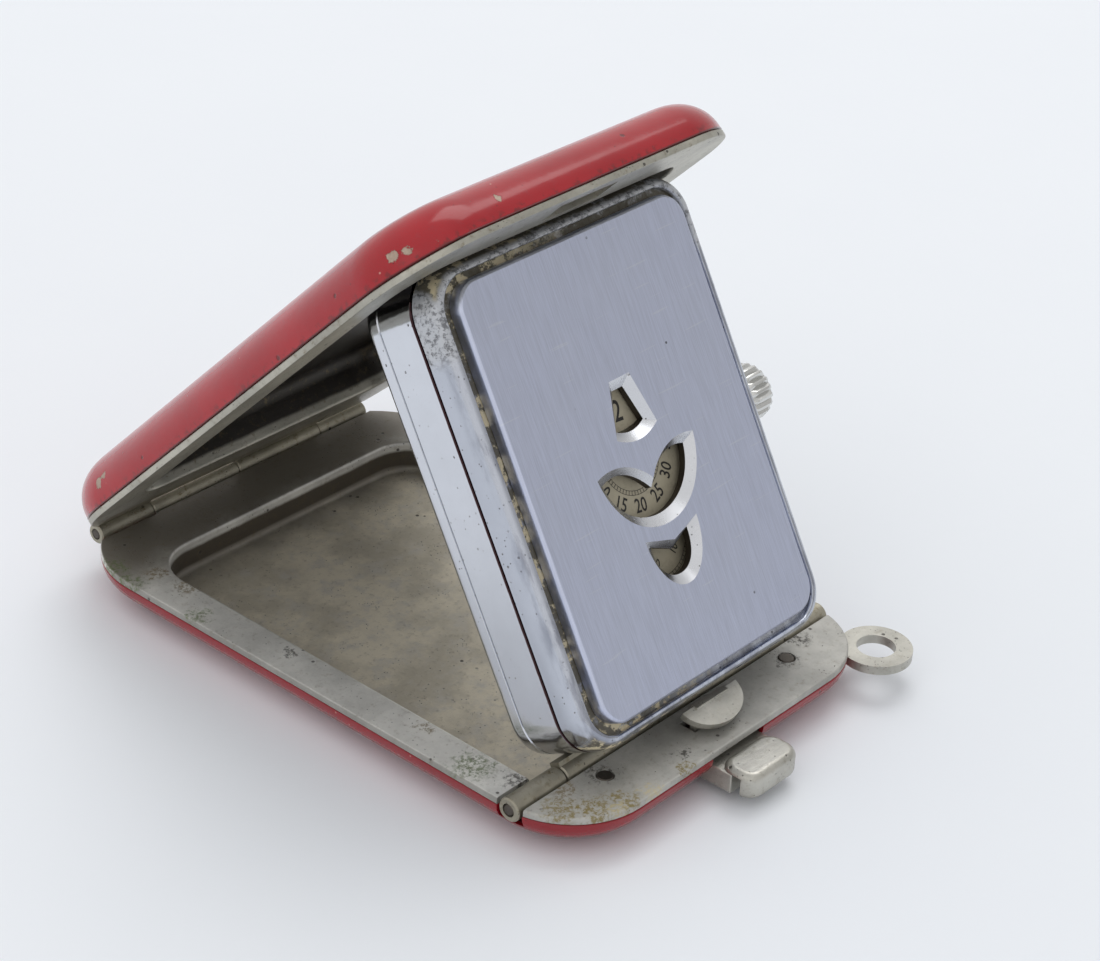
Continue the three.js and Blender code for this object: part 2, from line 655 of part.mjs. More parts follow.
function minutesWindow(grow) {
  const shape = new THREE.Shape();
  const tipX = 4.25 + grow;
  const tipY = 17.55 + grow * 0.75;
  const notchY = 15.85 + grow * 0.9;
  const lowY = 14 - grow;
  const drop = tipY - lowY;
  shape.moveTo(0, notchY);
  shape.bezierCurveTo(0.7, notchY + 0.9, tipX * 0.5, tipY + 0.75, tipX, tipY);
  shape.bezierCurveTo(tipX * 0.92, tipY - drop * 0.62, tipX * 0.5, lowY, 0, lowY);
  shape.bezierCurveTo(-tipX * 0.5, lowY, -tipX * 0.92, tipY - drop * 0.62, -tipX, tipY);
  shape.bezierCurveTo(-tipX * 0.5, tipY + 0.75, -0.7, notchY + 0.9, 0, notchY);
  return shape;
}

function secondsWindow(grow) {
  const shape = new THREE.Shape();
  const tipX = 1.95 + grow;
  const tipY = 12.25 + grow * 0.8;
  const notchY = 11.4 + grow * 0.85;
  const lowY = 9.6 - grow;
  shape.moveTo(0, notchY);
  shape.lineTo(tipX, tipY);
  shape.bezierCurveTo(tipX, tipY - 1.9 - grow * 0.4, tipX * 0.55, lowY, 0, lowY);
  shape.bezierCurveTo(-tipX * 0.55, lowY, -tipX, tipY - 1.9 - grow * 0.4, -tipX, tipY);
  shape.closePath();
  return shape;
}

const BEVEL_STEPS = 3;
const BEVEL_W = 0.75;
const BEVEL_H = 0.55;

function faceplate() {
  const face = (inset) => roundedRect([-FACE_HALF_W, FACE_HALF_W], FACE_Y, FACE_R, inset);
  const low = LEDGE_Z + GAP;
  const plate = pillow(face, [low - 4, FACE_Z], 0.25, 0.25, 1).intersect(everywhere([low, 9]));
  const cutters = [];
  for (const outline of [hourWindow, minutesWindow, secondsWindow]) {
    cutters.push(slab(outline(0), [0, 9], 7));
    for (let step = 1; step <= BEVEL_STEPS; step += 1) {
      const share = step / BEVEL_STEPS;
      const floorZ = FACE_Z - BEVEL_H * (1 - (step - 1) / BEVEL_STEPS);
      cutters.push(slab(outline(BEVEL_W * share), [floorZ, 9], 7));
    }
  }
  return cutAll(plate, cutters);
}

addPiece(watchGroup, "watch_hinge_leaf", watchLeaf(), NICKEL);
addPiece(watchGroup, "case_back", caseBack(), CHROME);
addPiece(watchGroup, "case_band", caseBand(), CHROME);
addPiece(watchGroup, "bezel", bezel(), CHROME);
addPiece(watchGroup, "faceplate", faceplate(), STEEL);

// ---- crown and winding ----

const CROWN_FLUTES = 20;
const STEM_R = 0.35;
const STEM_X = [3.9, CROWN_X[0] + 1];
const LEVER_X = [9, 9.4];

function crown() {
  const rootR = CROWN_R - 0.22;
  const flutes = [[0, rootR], [0.25, CROWN_R], [0.6, CROWN_R], [0.85, rootR]];
  const head = rimmedDisc(CROWN_FLUTES, flutes, [CROWN_X[0], CROWN_X[1] - 0.35]);
  const cap = rodZ(CROWN_R - 0.35, 0, 0, [CROWN_X[1] - 0.4, CROWN_X[1]], 32);
  const bore = rodZ(STEM_R + 0.03, 0, 0, [0, CROWN_X[0] + 1.1], 16);
  const solid = head.add(cap).subtract(bore);
  return solid.rotate([0, 90, 0]).translate([0, CROWN_Y, CROWN_Z]);
}

function crownTube() {
  const tube = rodX(0.85, [inX[1] - 0.6, bodyX[1] + 0.2], CROWN_Y, CROWN_Z);
  return tube.subtract(rodX(STEM_R + 0.08, [0, 20], CROWN_Y, CROWN_Z, 16));
}

// the stem carries a groove that the setting lever sits in
function windingStem() {
  const rod = rodX(STEM_R, STEM_X, CROWN_Y, CROWN_Z, 16);
  const groove = rodX(STEM_R + 1, [LEVER_X[0] - GAP, LEVER_X[1] + GAP], CROWN_Y, CROWN_Z, 16);
  return rod.subtract(groove.subtract(rodX(0.2, [0, 20], CROWN_Y, CROWN_Z, 16)));
}

function settingLever() {
  const plate = box(LEVER_X, [CROWN_Y - 1.6, CROWN_Y + 0.9], [CROWN_Z - 0.5, MAIN_PLATE_Z[0] - 0.06]);
  const fork = box([0, 20], [CROWN_Y - 0.25, CROWN_Y + 2], [CROWN_Z - 0.25, CROWN_Z + 0.25]);
  return plate.subtract(fork);
}

addPiece(watchGroup, "crown", crown(), CHROME);
addPiece(watchGroup, "crown_tube", crownTube(), CHROME);
addPiece(watchGroup, "winding_stem", windingStem(), STEEL);
addPiece(watchGroup, "setting_lever", settingLever(), STEEL);

// ---- movement ----

const PLATE_HALF_W = 11.95;
const PLATE_Y = [2.2, 34.2];
const PLATE_RIM_Z = BAND_TOP_Z;
const PLATE_RIM_W = 0.7;
const TURN_GAP = 0.05;
const WHEEL_T = 0.25;

// wheel train: places are x, y of each arbor; each wheel nearly touches the next pinion
const MINUTE_WHEEL = { teeth: 48, r: 3.4, z: [1.4, 1.4 + WHEEL_T] };
const MINUTE_PINION = { teeth: 7, r: 0.7, z: [-0.5, 0.1] };
const THIRD = { x: 2.23, y: 15.23 };
const THIRD_WHEEL = { teeth: 45, r: 3, z: [-0.2, -0.2 + WHEEL_T] };
const THIRD_PINION = { teeth: 6, r: 0.425, z: [1.2, 1.85] };
const SECONDS_WHEEL = { teeth: 60, r: 3, z: [0.55, 0.55 + WHEEL_T] };
const SECONDS_PINION = { teeth: 6, r: 0.4, z: [-0.4, 0.25] };
const ESCAPE = { x: 2.3, y: 10.16, arborR: 0.2 };
const ESCAPE_WHEEL = { teeth: 15, r: 1.9, z: [1.3, 1.5] };
const ESCAPE_PINION = { teeth: 6, r: 0.3, z: [0.45, 0.9] };
const PALLET = { x: 4.5, y: 8.72, z: [1.3, 1.5], arborR: 0.22 };
const BALANCE = { x: 7.6, y: 6.9, r: 3.2, z: [0.3, 0.6], arborR: 0.22 };
const BARREL = { x: -4.2, y: 22.33, drumR: 4.6, drumTopZ: 1.2, arborR: 0.6 };
const BARREL_WHEEL = { teeth: 49, r: 5, z: [-0.4, 0] };
const ARBOR_LOW_Z = BRIDGE_Z[0] + 0.1;
const ARBOR_TOP_Z = MAIN_PLATE_Z[1] - 0.2;

function hole(place, radius) {
  return rodZ(radius + TURN_GAP, place.x ?? 0, place.y, [-9, 9], 12);
}

const trainHoles = [
  hole(MINUTE, ARBOR_R),
  hole(THIRD, TRAIN_ARBOR_R),
  hole(SECONDS, ARBOR_R),
  hole(ESCAPE, ESCAPE.arborR),
  hole(PALLET, PALLET.arborR),
  hole(BALANCE, BALANCE.arborR),
  hole(BARREL, BARREL.arborR),
];

const BRIDGE_X = [-12, 6];
const BRIDGE_Y = [8, 33.6];
const PILLARS = [[-10.6, 31.8], [4.6, 31.8], [-10.6, 9.6]];
const PILLAR_R = 0.95;
const SCREW_R = 0.4;

function bridgeScrew([x, y], extra) {
  const shank = rodZ(SCREW_R + extra, x, y, [BRIDGE_Z[0] + 0.1, MAIN_PLATE_Z[1] - 0.1 + extra], 10);
  const head = rodZ(SCREW_R + 0.3 + extra, x, y, [BRIDGE_Z[0] - 0.1, BRIDGE_Z[0] + 0.25 + extra], 12);
  return shank.add(head);
}

function mainPlate() {
  const shape = roundedRect([-PLATE_HALF_W, PLATE_HALF_W], PLATE_Y, 2);
  const tray = slab(shape, [MAIN_PLATE_Z[0], PLATE_RIM_Z], 2);
  const trayInX = [-PLATE_HALF_W + PLATE_RIM_W, PLATE_HALF_W - PLATE_RIM_W];
  const trayInY = [PLATE_Y[0] + PLATE_RIM_W, PLATE_Y[1] - PLATE_RIM_W];
  const inside = slab(roundedRect(trayInX, trayInY, 1.5), [MAIN_PLATE_Z[1], 9], 2);
  const stemRoom = box([STEM_X[0] - 0.3, 20], [CROWN_Y - 0.95, CROWN_Y + 0.95], [0, CROWN_Z + 0.95]);
  const hourHole = rodZ(ARBOR_R + TURN_GAP, 0, HOUR.y, [-9, 9], 16);
  const screws = PILLARS.map((place) => bridgeScrew(place, GAP));
  return cutAll(tray, [inside, stemRoom, hourHole, ...trainHoles, ...screws]);
}

function trainBridge() {
  const plate = slab(roundedRect(BRIDGE_X, BRIDGE_Y, 1.5), BRIDGE_Z, 2);
  const pillarZ = [BRIDGE_Z[0] + 0.1, MAIN_PLATE_Z[0] - GAP];
  const pillars = PILLARS.map(([x, y]) => rodZ(PILLAR_R, x, y, pillarZ, 12));
  const screws = PILLARS.map((place) => bridgeScrew(place, GAP));
  return cutAll(joinAll([plate, ...pillars]), [...trainHoles, ...screws]);
}

function balanceCock() {
  const x = [BRIDGE_X[1] + 0.1, 12];
  const plate = slab(roundedRect(x, [3, 10.4], 1), BRIDGE_Z, 2);
  const foot = box([x[1] - 0.9, x[1] - 0.1], [4.2, 9.2], [BRIDGE_Z[0] + 0.1, MAIN_PLATE_Z[0] - GAP]);
  return plate.add(foot).subtract(hole(BALANCE, BALANCE.arborR));
}

// a disc of the display on its arbor
function displayDisc(disc, arborLowZ) {
  const plate = rodZ(disc.r, 0, disc.y, [disc.z, disc.z + DISC_T], 36);
  const post = rodZ(ARBOR_R, 0, disc.y, [arborLowZ, disc.z + DISC_T / 2], 12);
  return plate.add(post);
}

function wheel(gear, place) {
  const toothH = Math.min(0.22, gear.r * 0.3);
  return toothedDisc(gear.teeth, gear.r, gear.r - toothH, gear.z, place.x ?? 0, place.y);
}

function arbor(place, radius) {
  return rodZ(radius, place.x ?? 0, place.y, [ARBOR_LOW_Z, ARBOR_TOP_Z], 12);
}

function minuteDisc() {
  const gears = [wheel(MINUTE_WHEEL, MINUTE), wheel(MINUTE_PINION, MINUTE)];
  return joinAll([displayDisc(MINUTE, ARBOR_LOW_Z), ...gears]);
}

function secondsDisc() {
  const gears = [wheel(SECONDS_WHEEL, SECONDS), wheel(SECONDS_PINION, SECONDS)];
  return joinAll([displayDisc(SECONDS, ARBOR_LOW_Z), ...gears]);
}

function thirdWheel() {
  const gears = [wheel(THIRD_WHEEL, THIRD), wheel(THIRD_PINION, THIRD)];
  return joinAll([...gears, arbor(THIRD, TRAIN_ARBOR_R)]);
}

function escapeWheel() {
  const gears = [wheel(ESCAPE_WHEEL, ESCAPE), wheel(ESCAPE_PINION, ESCAPE)];
  return joinAll([...gears, arbor(ESCAPE, ESCAPE.arborR)]);
}

function mainspringBarrel() {
  const drum = rodZ(BARREL.drumR, BARREL.x, BARREL.y, [BARREL_WHEEL.z[0], BARREL.drumTopZ], 28);
  return joinAll([drum, arbor(BARREL, BARREL.arborR), wheel(BARREL_WHEEL, BARREL)]);
}

// the fork points from its arbor to the balance, with two short arms towards the escape wheel
function palletFork() {
  const toBalance = Math.atan2(BALANCE.y - PALLET.y, BALANCE.x - PALLET.x);
  const reach = Math.hypot(BALANCE.y - PALLET.y, BALANCE.x - PALLET.x) - 0.6;
  const lever = box([0, reach], [-0.12, 0.12], PALLET.z);
  const arms = box([-0.15, 0.15], [-0.6, 0.6], PALLET.z);
  const turn = (toBalance * 180) / Math.PI;
  const body = lever.add(arms).rotate([0, 0, turn]).translate([PALLET.x, PALLET.y, 0]);
  return body.add(arbor(PALLET, PALLET.arborR));
}

function balanceWheel() {
  const rim = rodZ(BALANCE.r, BALANCE.x, BALANCE.y, BALANCE.z, 28);
  const inside = rodZ(BALANCE.r - 0.5, BALANCE.x, BALANCE.y, [-9, 9], 28);
  const armReach = BALANCE.r - 0.2;
  const armX = [BALANCE.x - armReach, BALANCE.x + armReach];
  const arm = box(armX, [BALANCE.y - 0.25, BALANCE.y + 0.25], BALANCE.z);
  return joinAll([rim.subtract(inside), arm, arbor(BALANCE, BALANCE.arborR)]);
}

// flat spiral: the strip follows r = start + pitch * turns
function hairspring() {
  const start = 0.45;
  const pitch = 0.42;
  const turns = 3;
  const perTurn = 16;
  const half = 0.05;
  const shape = new THREE.Shape();
  const count = turns * perTurn;
  const at = (index, side) => {
    const angle = (index * 2 * Math.PI) / perTurn;
    const radius = start + (pitch * index) / perTurn + side * half;
    return [BALANCE.x + radius * Math.cos(angle), BALANCE.y + radius * Math.sin(angle)];
  };
  shape.moveTo(...at(0, -1));
  for (let index = 1; index <= count; index += 1) {
    shape.lineTo(...at(index, -1));
  }
  for (let index = count; index >= 0; index -= 1) {
    shape.lineTo(...at(index, 1));
  }
  shape.closePath();
  return slab(shape, [-0.2, -0.05]);
}

addPiece(watchGroup, "hour_disc", displayDisc(HOUR, MAIN_PLATE_Z[0]), DISC);
addPiece(watchGroup, "minute_disc", minuteDisc(), DISC);
addPiece(watchGroup, "seconds_disc", secondsDisc(), DISC);
addPiece(watchGroup, "main_plate", mainPlate(), BRASS);
addPiece(watchGroup, "train_bridge", trainBridge(), BRASS);
addPiece(watchGroup, "balance_cock", balanceCock(), BRASS);
addPiece(watchGroup, "mainspring_barrel", mainspringBarrel(), BRASS);
addPiece(watchGroup, "third_wheel", thirdWheel(), BRASS);
addPiece(watchGroup, "escape_wheel", escapeWheel(), STEEL);
addPiece(watchGroup, "pallet_fork", palletFork(), STEEL);
addPiece(watchGroup, "balance_wheel", balanceWheel(), BRASS);
addPiece(watchGroup, "hairspring", hairspring(), BLUED);
PILLARS.forEach((place, index) => {
  addPiece(watchGroup, `bridge_screw_${index + 1}`, bridgeScrew(place, 0), STEEL);
});

export default group;
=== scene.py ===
import json
import math

import bmesh
import bpy
from mathutils import Matrix, Vector


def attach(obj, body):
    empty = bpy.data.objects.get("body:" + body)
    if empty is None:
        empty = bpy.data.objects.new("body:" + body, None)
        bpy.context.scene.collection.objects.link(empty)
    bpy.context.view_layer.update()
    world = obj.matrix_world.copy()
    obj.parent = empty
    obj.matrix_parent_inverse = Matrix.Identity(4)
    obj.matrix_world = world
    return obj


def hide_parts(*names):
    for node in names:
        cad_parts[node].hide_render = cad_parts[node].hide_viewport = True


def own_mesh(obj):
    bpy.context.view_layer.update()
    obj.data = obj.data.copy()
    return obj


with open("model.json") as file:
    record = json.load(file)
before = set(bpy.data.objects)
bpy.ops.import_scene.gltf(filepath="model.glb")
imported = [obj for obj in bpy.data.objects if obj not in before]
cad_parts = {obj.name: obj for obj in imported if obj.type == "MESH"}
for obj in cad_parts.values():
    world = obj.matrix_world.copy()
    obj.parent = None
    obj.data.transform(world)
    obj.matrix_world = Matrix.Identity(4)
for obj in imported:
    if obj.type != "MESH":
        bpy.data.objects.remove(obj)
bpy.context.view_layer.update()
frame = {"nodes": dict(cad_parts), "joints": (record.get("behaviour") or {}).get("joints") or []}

# A folding purse watch: an enamelled clam case stands open with a small rectangular watch in it.
# Shapes are made in millimetres in the frame of the part that they belong to, then set in the row frame.

MM = 0.001

# ---- places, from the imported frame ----

JOINTS = {joint["name"]: joint for joint in frame["joints"]}
FACE_NORMAL = JOINTS["minute_turn"]["axis"]
WATCH_ANGLE = math.atan2(-FACE_NORMAL[1], FACE_NORMAL[2])
COVER_ANGLE = math.radians(45.2)
BASE = Matrix.Identity(4)
WATCH = Matrix.Translation(JOINTS["watch_fold"]["pos_m"]) @ Matrix.Rotation(WATCH_ANGLE, 4, "X")
COVER = Matrix.Translation(JOINTS["cover_open"]["pos_m"]) @ Matrix.Rotation(-COVER_ANGLE, 4, "X")


def local_box(node, place):
    """Lowest and highest x, y, z of a CAD node in the frame of its part, in millimetres."""
    inverse = place.inverted()
    points = [inverse @ v.co for v in frame["nodes"][node].data.vertices]
    return [(min(p[i] for p in points) / MM, max(p[i] for p in points) / MM) for i in range(3)]


HINGE_Y, HINGE_Z = (value / MM for value in JOINTS["watch_fold"]["pos_m"][1:])
REAR_Y, REAR_Z = (value / MM for value in JOINTS["cover_open"]["pos_m"][1:])


# ---- outlines, in millimetres ----

FINE = 14  # steps of a finely divided curve
FRONT_R = 6.5
REAR_R = 8
REAR_CUT = 6
CASE_X, CASE_Y, SHELL_Z = local_box("base_shell", BASE)
BASE_TOP = local_box("base_frame", BASE)[2][1]
GROOVE_X, GROOVE_Z = (-11.95, 11.95), 4.7


def arc(cx, cy, radius, start, end, steps):
    """Points along an arc, angles in degrees."""
    angles = [math.radians(start + (end - start) * i / steps) for i in range(steps + 1)]
    return [(cx + radius * math.cos(a), cy + radius * math.sin(a)) for a in angles]


def circle(cx, cy, radius, steps):
    return arc(cx, cy, radius, 0, 360, steps)[:-1]


def rounded_rect(x, y, radius, inset, steps=10):
    r = max(radius - inset, 0.02)
    x0, x1, y0, y1 = x[0] + inset, x[1] - inset, y[0] + inset, y[1] - inset
    corners = [(x1 - r, y0 + r, -90), (x1 - r, y1 - r, 0), (x0 + r, y1 - r, 90), (x0 + r, y0 + r, 180)]
    return [p for cx, cy, start in corners for p in arc(cx, cy, r, start, start + 90, steps)]


def case_outline(inset, shift=0.0):
    """The outline that base and cover share: round at the front, cut straight along the rear hinge."""
    front_x, rear_x = CASE_X[1] - FRONT_R, CASE_X[1] - REAR_R
    front_y, cut_y = CASE_Y[0] + FRONT_R, CASE_Y[1] - REAR_CUT
    cut = math.degrees(math.asin((REAR_CUT - inset) / (REAR_R - inset)))
    points = arc(front_x, front_y, FRONT_R - inset, -90, 0, FINE)
    points += arc(rear_x, cut_y, REAR_R - inset, 0, cut, FINE)
    points += arc(-rear_x, cut_y, REAR_R - inset, 180 - cut, 180, FINE)
    points += arc(-front_x, front_y, FRONT_R - inset, 180, 270, FINE)
    return [(x, y + shift) for x, y in points]


def rounding(start, end, steps, level_first=False):
    """A quarter round from one (inset, z) to another; it leaves upright, or level if level_first."""
    result = []
    for i in range(steps + 1):
        t = math.pi / 2 * i / steps
        slow, fast = 1 - math.cos(t), math.sin(t)
        a, b = (fast, slow) if level_first else (slow, fast)
        result.append((start[0] + (end[0] - start[0]) * a, start[1] + (end[1] - start[1]) * b))
    return result


# ---- solids ----


class Solid:
    """A closed surface made of rings of points, in the millimetres of its part."""

    def __init__(self):
        self.bm = bmesh.new()

    def ring(self, points, z):
        return [self.bm.verts.new((x, y, z)) for x, y in points]

    def skin(self, rings, closed=False):
        """Faces between rings that follow each other."""
        pairs = list(zip(rings, rings[1:] + rings[:1])) if closed else list(zip(rings, rings[1:]))
        for low, high in pairs:
            count = len(low)
            for i in range(count):
                j = (i + 1) % count
                self.bm.faces.new((low[i], low[j], high[j], high[i]))

    def cap(self, ring):
        self.bm.faces.new(ring)

    def fill(self, *rings):
        """A flat face bounded by the first ring, with the other rings as holes."""
        edges = []
        for ring in rings:
            for a, b in zip(ring, ring[1:] + ring[:1]):
                edges.append(self.bm.edges.get((a, b)) or self.bm.edges.new((a, b)))
        bmesh.ops.triangle_fill(self.bm, use_beauty=True, use_dissolve=False, edges=edges, normal=(0, 0, 1))

    def object(self):
        bmesh.ops.recalc_face_normals(self.bm, faces=self.bm.faces)
        mesh = bpy.data.meshes.new("solid")
        self.bm.to_mesh(mesh)
        self.bm.free()
        made = bpy.data.objects.new("solid", mesh)
        bpy.context.scene.collection.objects.link(made)
        return made


def pillar(outline, profile):
    """Rings of outline(inset) at each (inset, z) of the profile, closed at both ends."""
    solid = Solid()
    rings = [solid.ring(outline(inset), z) for inset, z in profile]
    solid.skin(rings)
    solid.cap(rings[0])
    solid.cap(rings[-1])
    return solid.object()


def block(x, y, z):
    points = [(x[0], y[0]), (x[1], y[0]), (x[1], y[1]), (x[0], y[1])]
    return pillar(lambda inset: points, [(0, z[0]), (0, z[1])])


def rod(axis, centre, radius, span, chamfer=0.0, steps=40, bore=None):
    """A round bar along X or Z; centre is its place in the other two directions."""
    c = max(chamfer, 0.001)
    profile = [(c, span[0]), (0, span[0] + c), (0, span[1] - c), (c, span[1])]
    solid = Solid()
    rings = [solid.ring(circle(0, 0, radius - inset, steps), z) for inset, z in profile]
    solid.skin(rings)
    if bore is None:
        solid.cap(rings[0])
        solid.cap(rings[-1])
    else:
        inner = [solid.ring(circle(0, 0, bore, steps), z) for z in (span[1], span[0])]
        solid.skin([rings[-1], *inner, rings[0]])
    made = solid.object()
    if axis == "X":
        made.data.transform(Matrix.Rotation(math.radians(90), 4, "Y"))
        made.data.transform(Matrix.Translation((0, centre[0], centre[1])))
    else:
        made.data.transform(Matrix.Translation((centre[0], centre[1], 0)))
    return made


def freeze(made):
    """Applies an object's modifiers."""
    graph = bpy.context.evaluated_depsgraph_get()
    mesh = bpy.data.meshes.new_from_object(made.evaluated_get(graph), depsgraph=graph)
    made.modifiers.clear()
    made.data = mesh
    return made


def combine(target, others, operation):
    for other in others:
        modifier = target.modifiers.new("combine", "BOOLEAN")
        modifier.operation = operation
        modifier.solver = "EXACT"
        modifier.object = other
        freeze(target)
        bpy.data.objects.remove(other)
    return target


def cut(target, *others):
    return combine(target, others, "DIFFERENCE")


def join(target, *others):
    return combine(target, others, "UNION")


def soften(target, width, segments=2):
    """Rounds the sharp edges of a solid that was cut or joined."""
    bm = bmesh.new()
    bm.from_mesh(target.data)
    bmesh.ops.remove_doubles(bm, verts=bm.verts, dist=0.002)
    bmesh.ops.dissolve_limit(bm, angle_limit=math.radians(0.6), verts=bm.verts, edges=bm.edges)
    bm.to_mesh(target.data)
    bm.free()
    modifier = target.modifiers.new("soften", "BEVEL")
    modifier.width = width
    modifier.segments = segments
    modifier.limit_method = "ANGLE"
    modifier.angle_limit = math.radians(38)
    return freeze(target)


def publish(made, name, place, material, body, slot, *nodes):
    """Sets a finished solid in the row frame and gives it its name, material and body."""
    made.data.transform(place @ Matrix.Scale(MM, 4))
    made.name = name
    made.data.name = name
    if not made.data.materials:
        made.data.materials.append(material)
    for polygon in made.data.polygons:
        polygon.use_smooth = True
    made.data.set_sharp_from_angle(angle=math.radians(35))
    modifier = made.modifiers.new("normals", "WEIGHTED_NORMAL")
    modifier.keep_sharp = True
    modifier.weight = 100
    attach(made, body)
    if nodes:
        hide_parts(*nodes)
    return made


# ---- material nodes ----


class Look:
    """A principled material built from nodes."""

    def __init__(self, name, place=BASE, **values):
        self.material = bpy.data.materials.new(name)
        self.material.use_nodes = True
        self.tree = self.material.node_tree
        self.shader = self.tree.nodes["Principled BSDF"]
        for socket, value in values.items():
            self.shader.inputs[socket.replace("_", " ")].default_value = value
        coordinates = self.add("ShaderNodeTexCoord").outputs["Object"]
        mapping = self.add("ShaderNodeMapping", Vector=coordinates)
        mapping.vector_type = "TEXTURE"
        mapping.inputs["Location"].default_value = place.to_translation()
        mapping.inputs["Rotation"].default_value = place.to_euler()
        scaled = self.add("ShaderNodeVectorMath", 0, mapping.outputs[0])
        scaled.operation = "SCALE"
        scaled.inputs["Scale"].default_value = 1 / MM
        self.mm = scaled.outputs[0]
        self.x, self.y, self.z = self.add("ShaderNodeSeparateXYZ", Vector=self.mm).outputs

    def add(self, kind, *slots, **inputs):
        """A node; inputs are sockets or values, by name, or as an index and a value in turn."""
        made = self.tree.nodes.new(kind)
        pairs = list(zip(slots[::2], slots[1::2])) + [(k.replace("_", " "), v) for k, v in inputs.items()]
        for key, value in pairs:
            self.put(made.inputs[key], value)
        return made

    def put(self, socket, value):
        if isinstance(value, bpy.types.NodeSocket):
            self.tree.links.new(value, socket)
        else:
            socket.default_value = value

    def math(self, operation, a, b=0.0):
        made = self.add("ShaderNodeMath", 0, a, 1, b)
        made.operation = operation
        return made.outputs[0]

    def times(self, a, b):
        return self.math("MULTIPLY", a, b)

    def noise(self, scale, detail, rough=0.55, stretch=None, shift=0.0):
        """Noise whose grains are about 1 / scale millimetres across."""
        vector = self.mm
        if stretch or shift:
            mapping = self.add("ShaderNodeMapping", Vector=vector)
            mapping.inputs["Scale"].default_value = stretch or (1, 1, 1)
            mapping.inputs["Location"].default_value = (shift, shift * 0.7, -shift)
            vector = mapping.outputs[0]
        made = self.add("ShaderNodeTexNoise", Vector=vector, Scale=scale, Detail=detail, Roughness=rough)
        return made.outputs[0]

    def spots(self, scale, radius, soft, shift=0.0):
        """1 inside small round spots, one to a cell of a grid of that scale."""
        mapping = self.add("ShaderNodeMapping", Vector=self.mm)
        mapping.inputs["Location"].default_value = (shift, shift, shift)
        cells = self.add("ShaderNodeTexVoronoi", Vector=mapping.outputs[0], Scale=scale)
        return self.step(cells.outputs["Distance"], radius + soft, radius)

    def step(self, value, low, high):
        """0 at low, 1 at high, smooth in between; low may be the larger one."""
        made = self.add("ShaderNodeMapRange", Value=value)
        made.interpolation_type = "SMOOTHSTEP"
        if low < high:
            edges = (low, high, 0.0, 1.0)
        else:
            edges = (high, low, 1.0, 0.0)
        for key, edge in zip(("From Min", "From Max", "To Min", "To Max"), edges):
            made.inputs[key].default_value = edge
        return made.outputs[0]

    def span(self, value, low, high):
        made = self.add("ShaderNodeMapRange", Value=value)
        made.inputs["To Min"].default_value = low
        made.inputs["To Max"].default_value = high
        return made.outputs[0]

    def mix(self, factor, a, b):
        made = self.add("ShaderNodeMix")
        made.data_type = "RGBA"
        self.put(made.inputs["Factor"], factor)
        self.put(made.inputs[6], self.colour(a))
        self.put(made.inputs[7], self.colour(b))
        return made.outputs[2]

    @staticmethod
    def colour(value):
        return (*value, 1.0) if isinstance(value, tuple) and len(value) == 3 else value

    def blend(self, factor, a, b):
        """Mixes two numbers."""
        made = self.add("ShaderNodeMix")
        made.data_type = "FLOAT"
        self.put(made.inputs["Factor"], factor)
        self.put(made.inputs[2], a)
        self.put(made.inputs[3], b)
        return made.outputs[0]

    def near(self, point, radius, soft, warp):
        """1 within a radius of a point of the part, falling to 0 over soft; warp roughens the edge."""
        distance = self.add("ShaderNodeVectorMath", 0, self.mm, 1, point)
        distance.operation = "DISTANCE"
        return self.step(self.math("ADD", distance.outputs["Value"], warp), radius + soft, radius)

    def bump(self, height, depth):
        """Bump from a height, depth in millimetres."""
        return self.add("ShaderNodeBump", Height=height, Distance=depth * MM, Strength=1.0).outputs[0]

    def finish(self, **links):
        for socket, value in links.items():
            self.put(self.shader.inputs[socket.replace("_", " ")], self.colour(value))
        return self.material


# ---- finishes ----

BROWN = (0.16, 0.12, 0.06)
SOOT = (0.035, 0.03, 0.025)
GREEN = (0.10, 0.13, 0.05)
CREAM = (0.50, 0.44, 0.29)
OLIVE = (0.19, 0.14, 0.025)


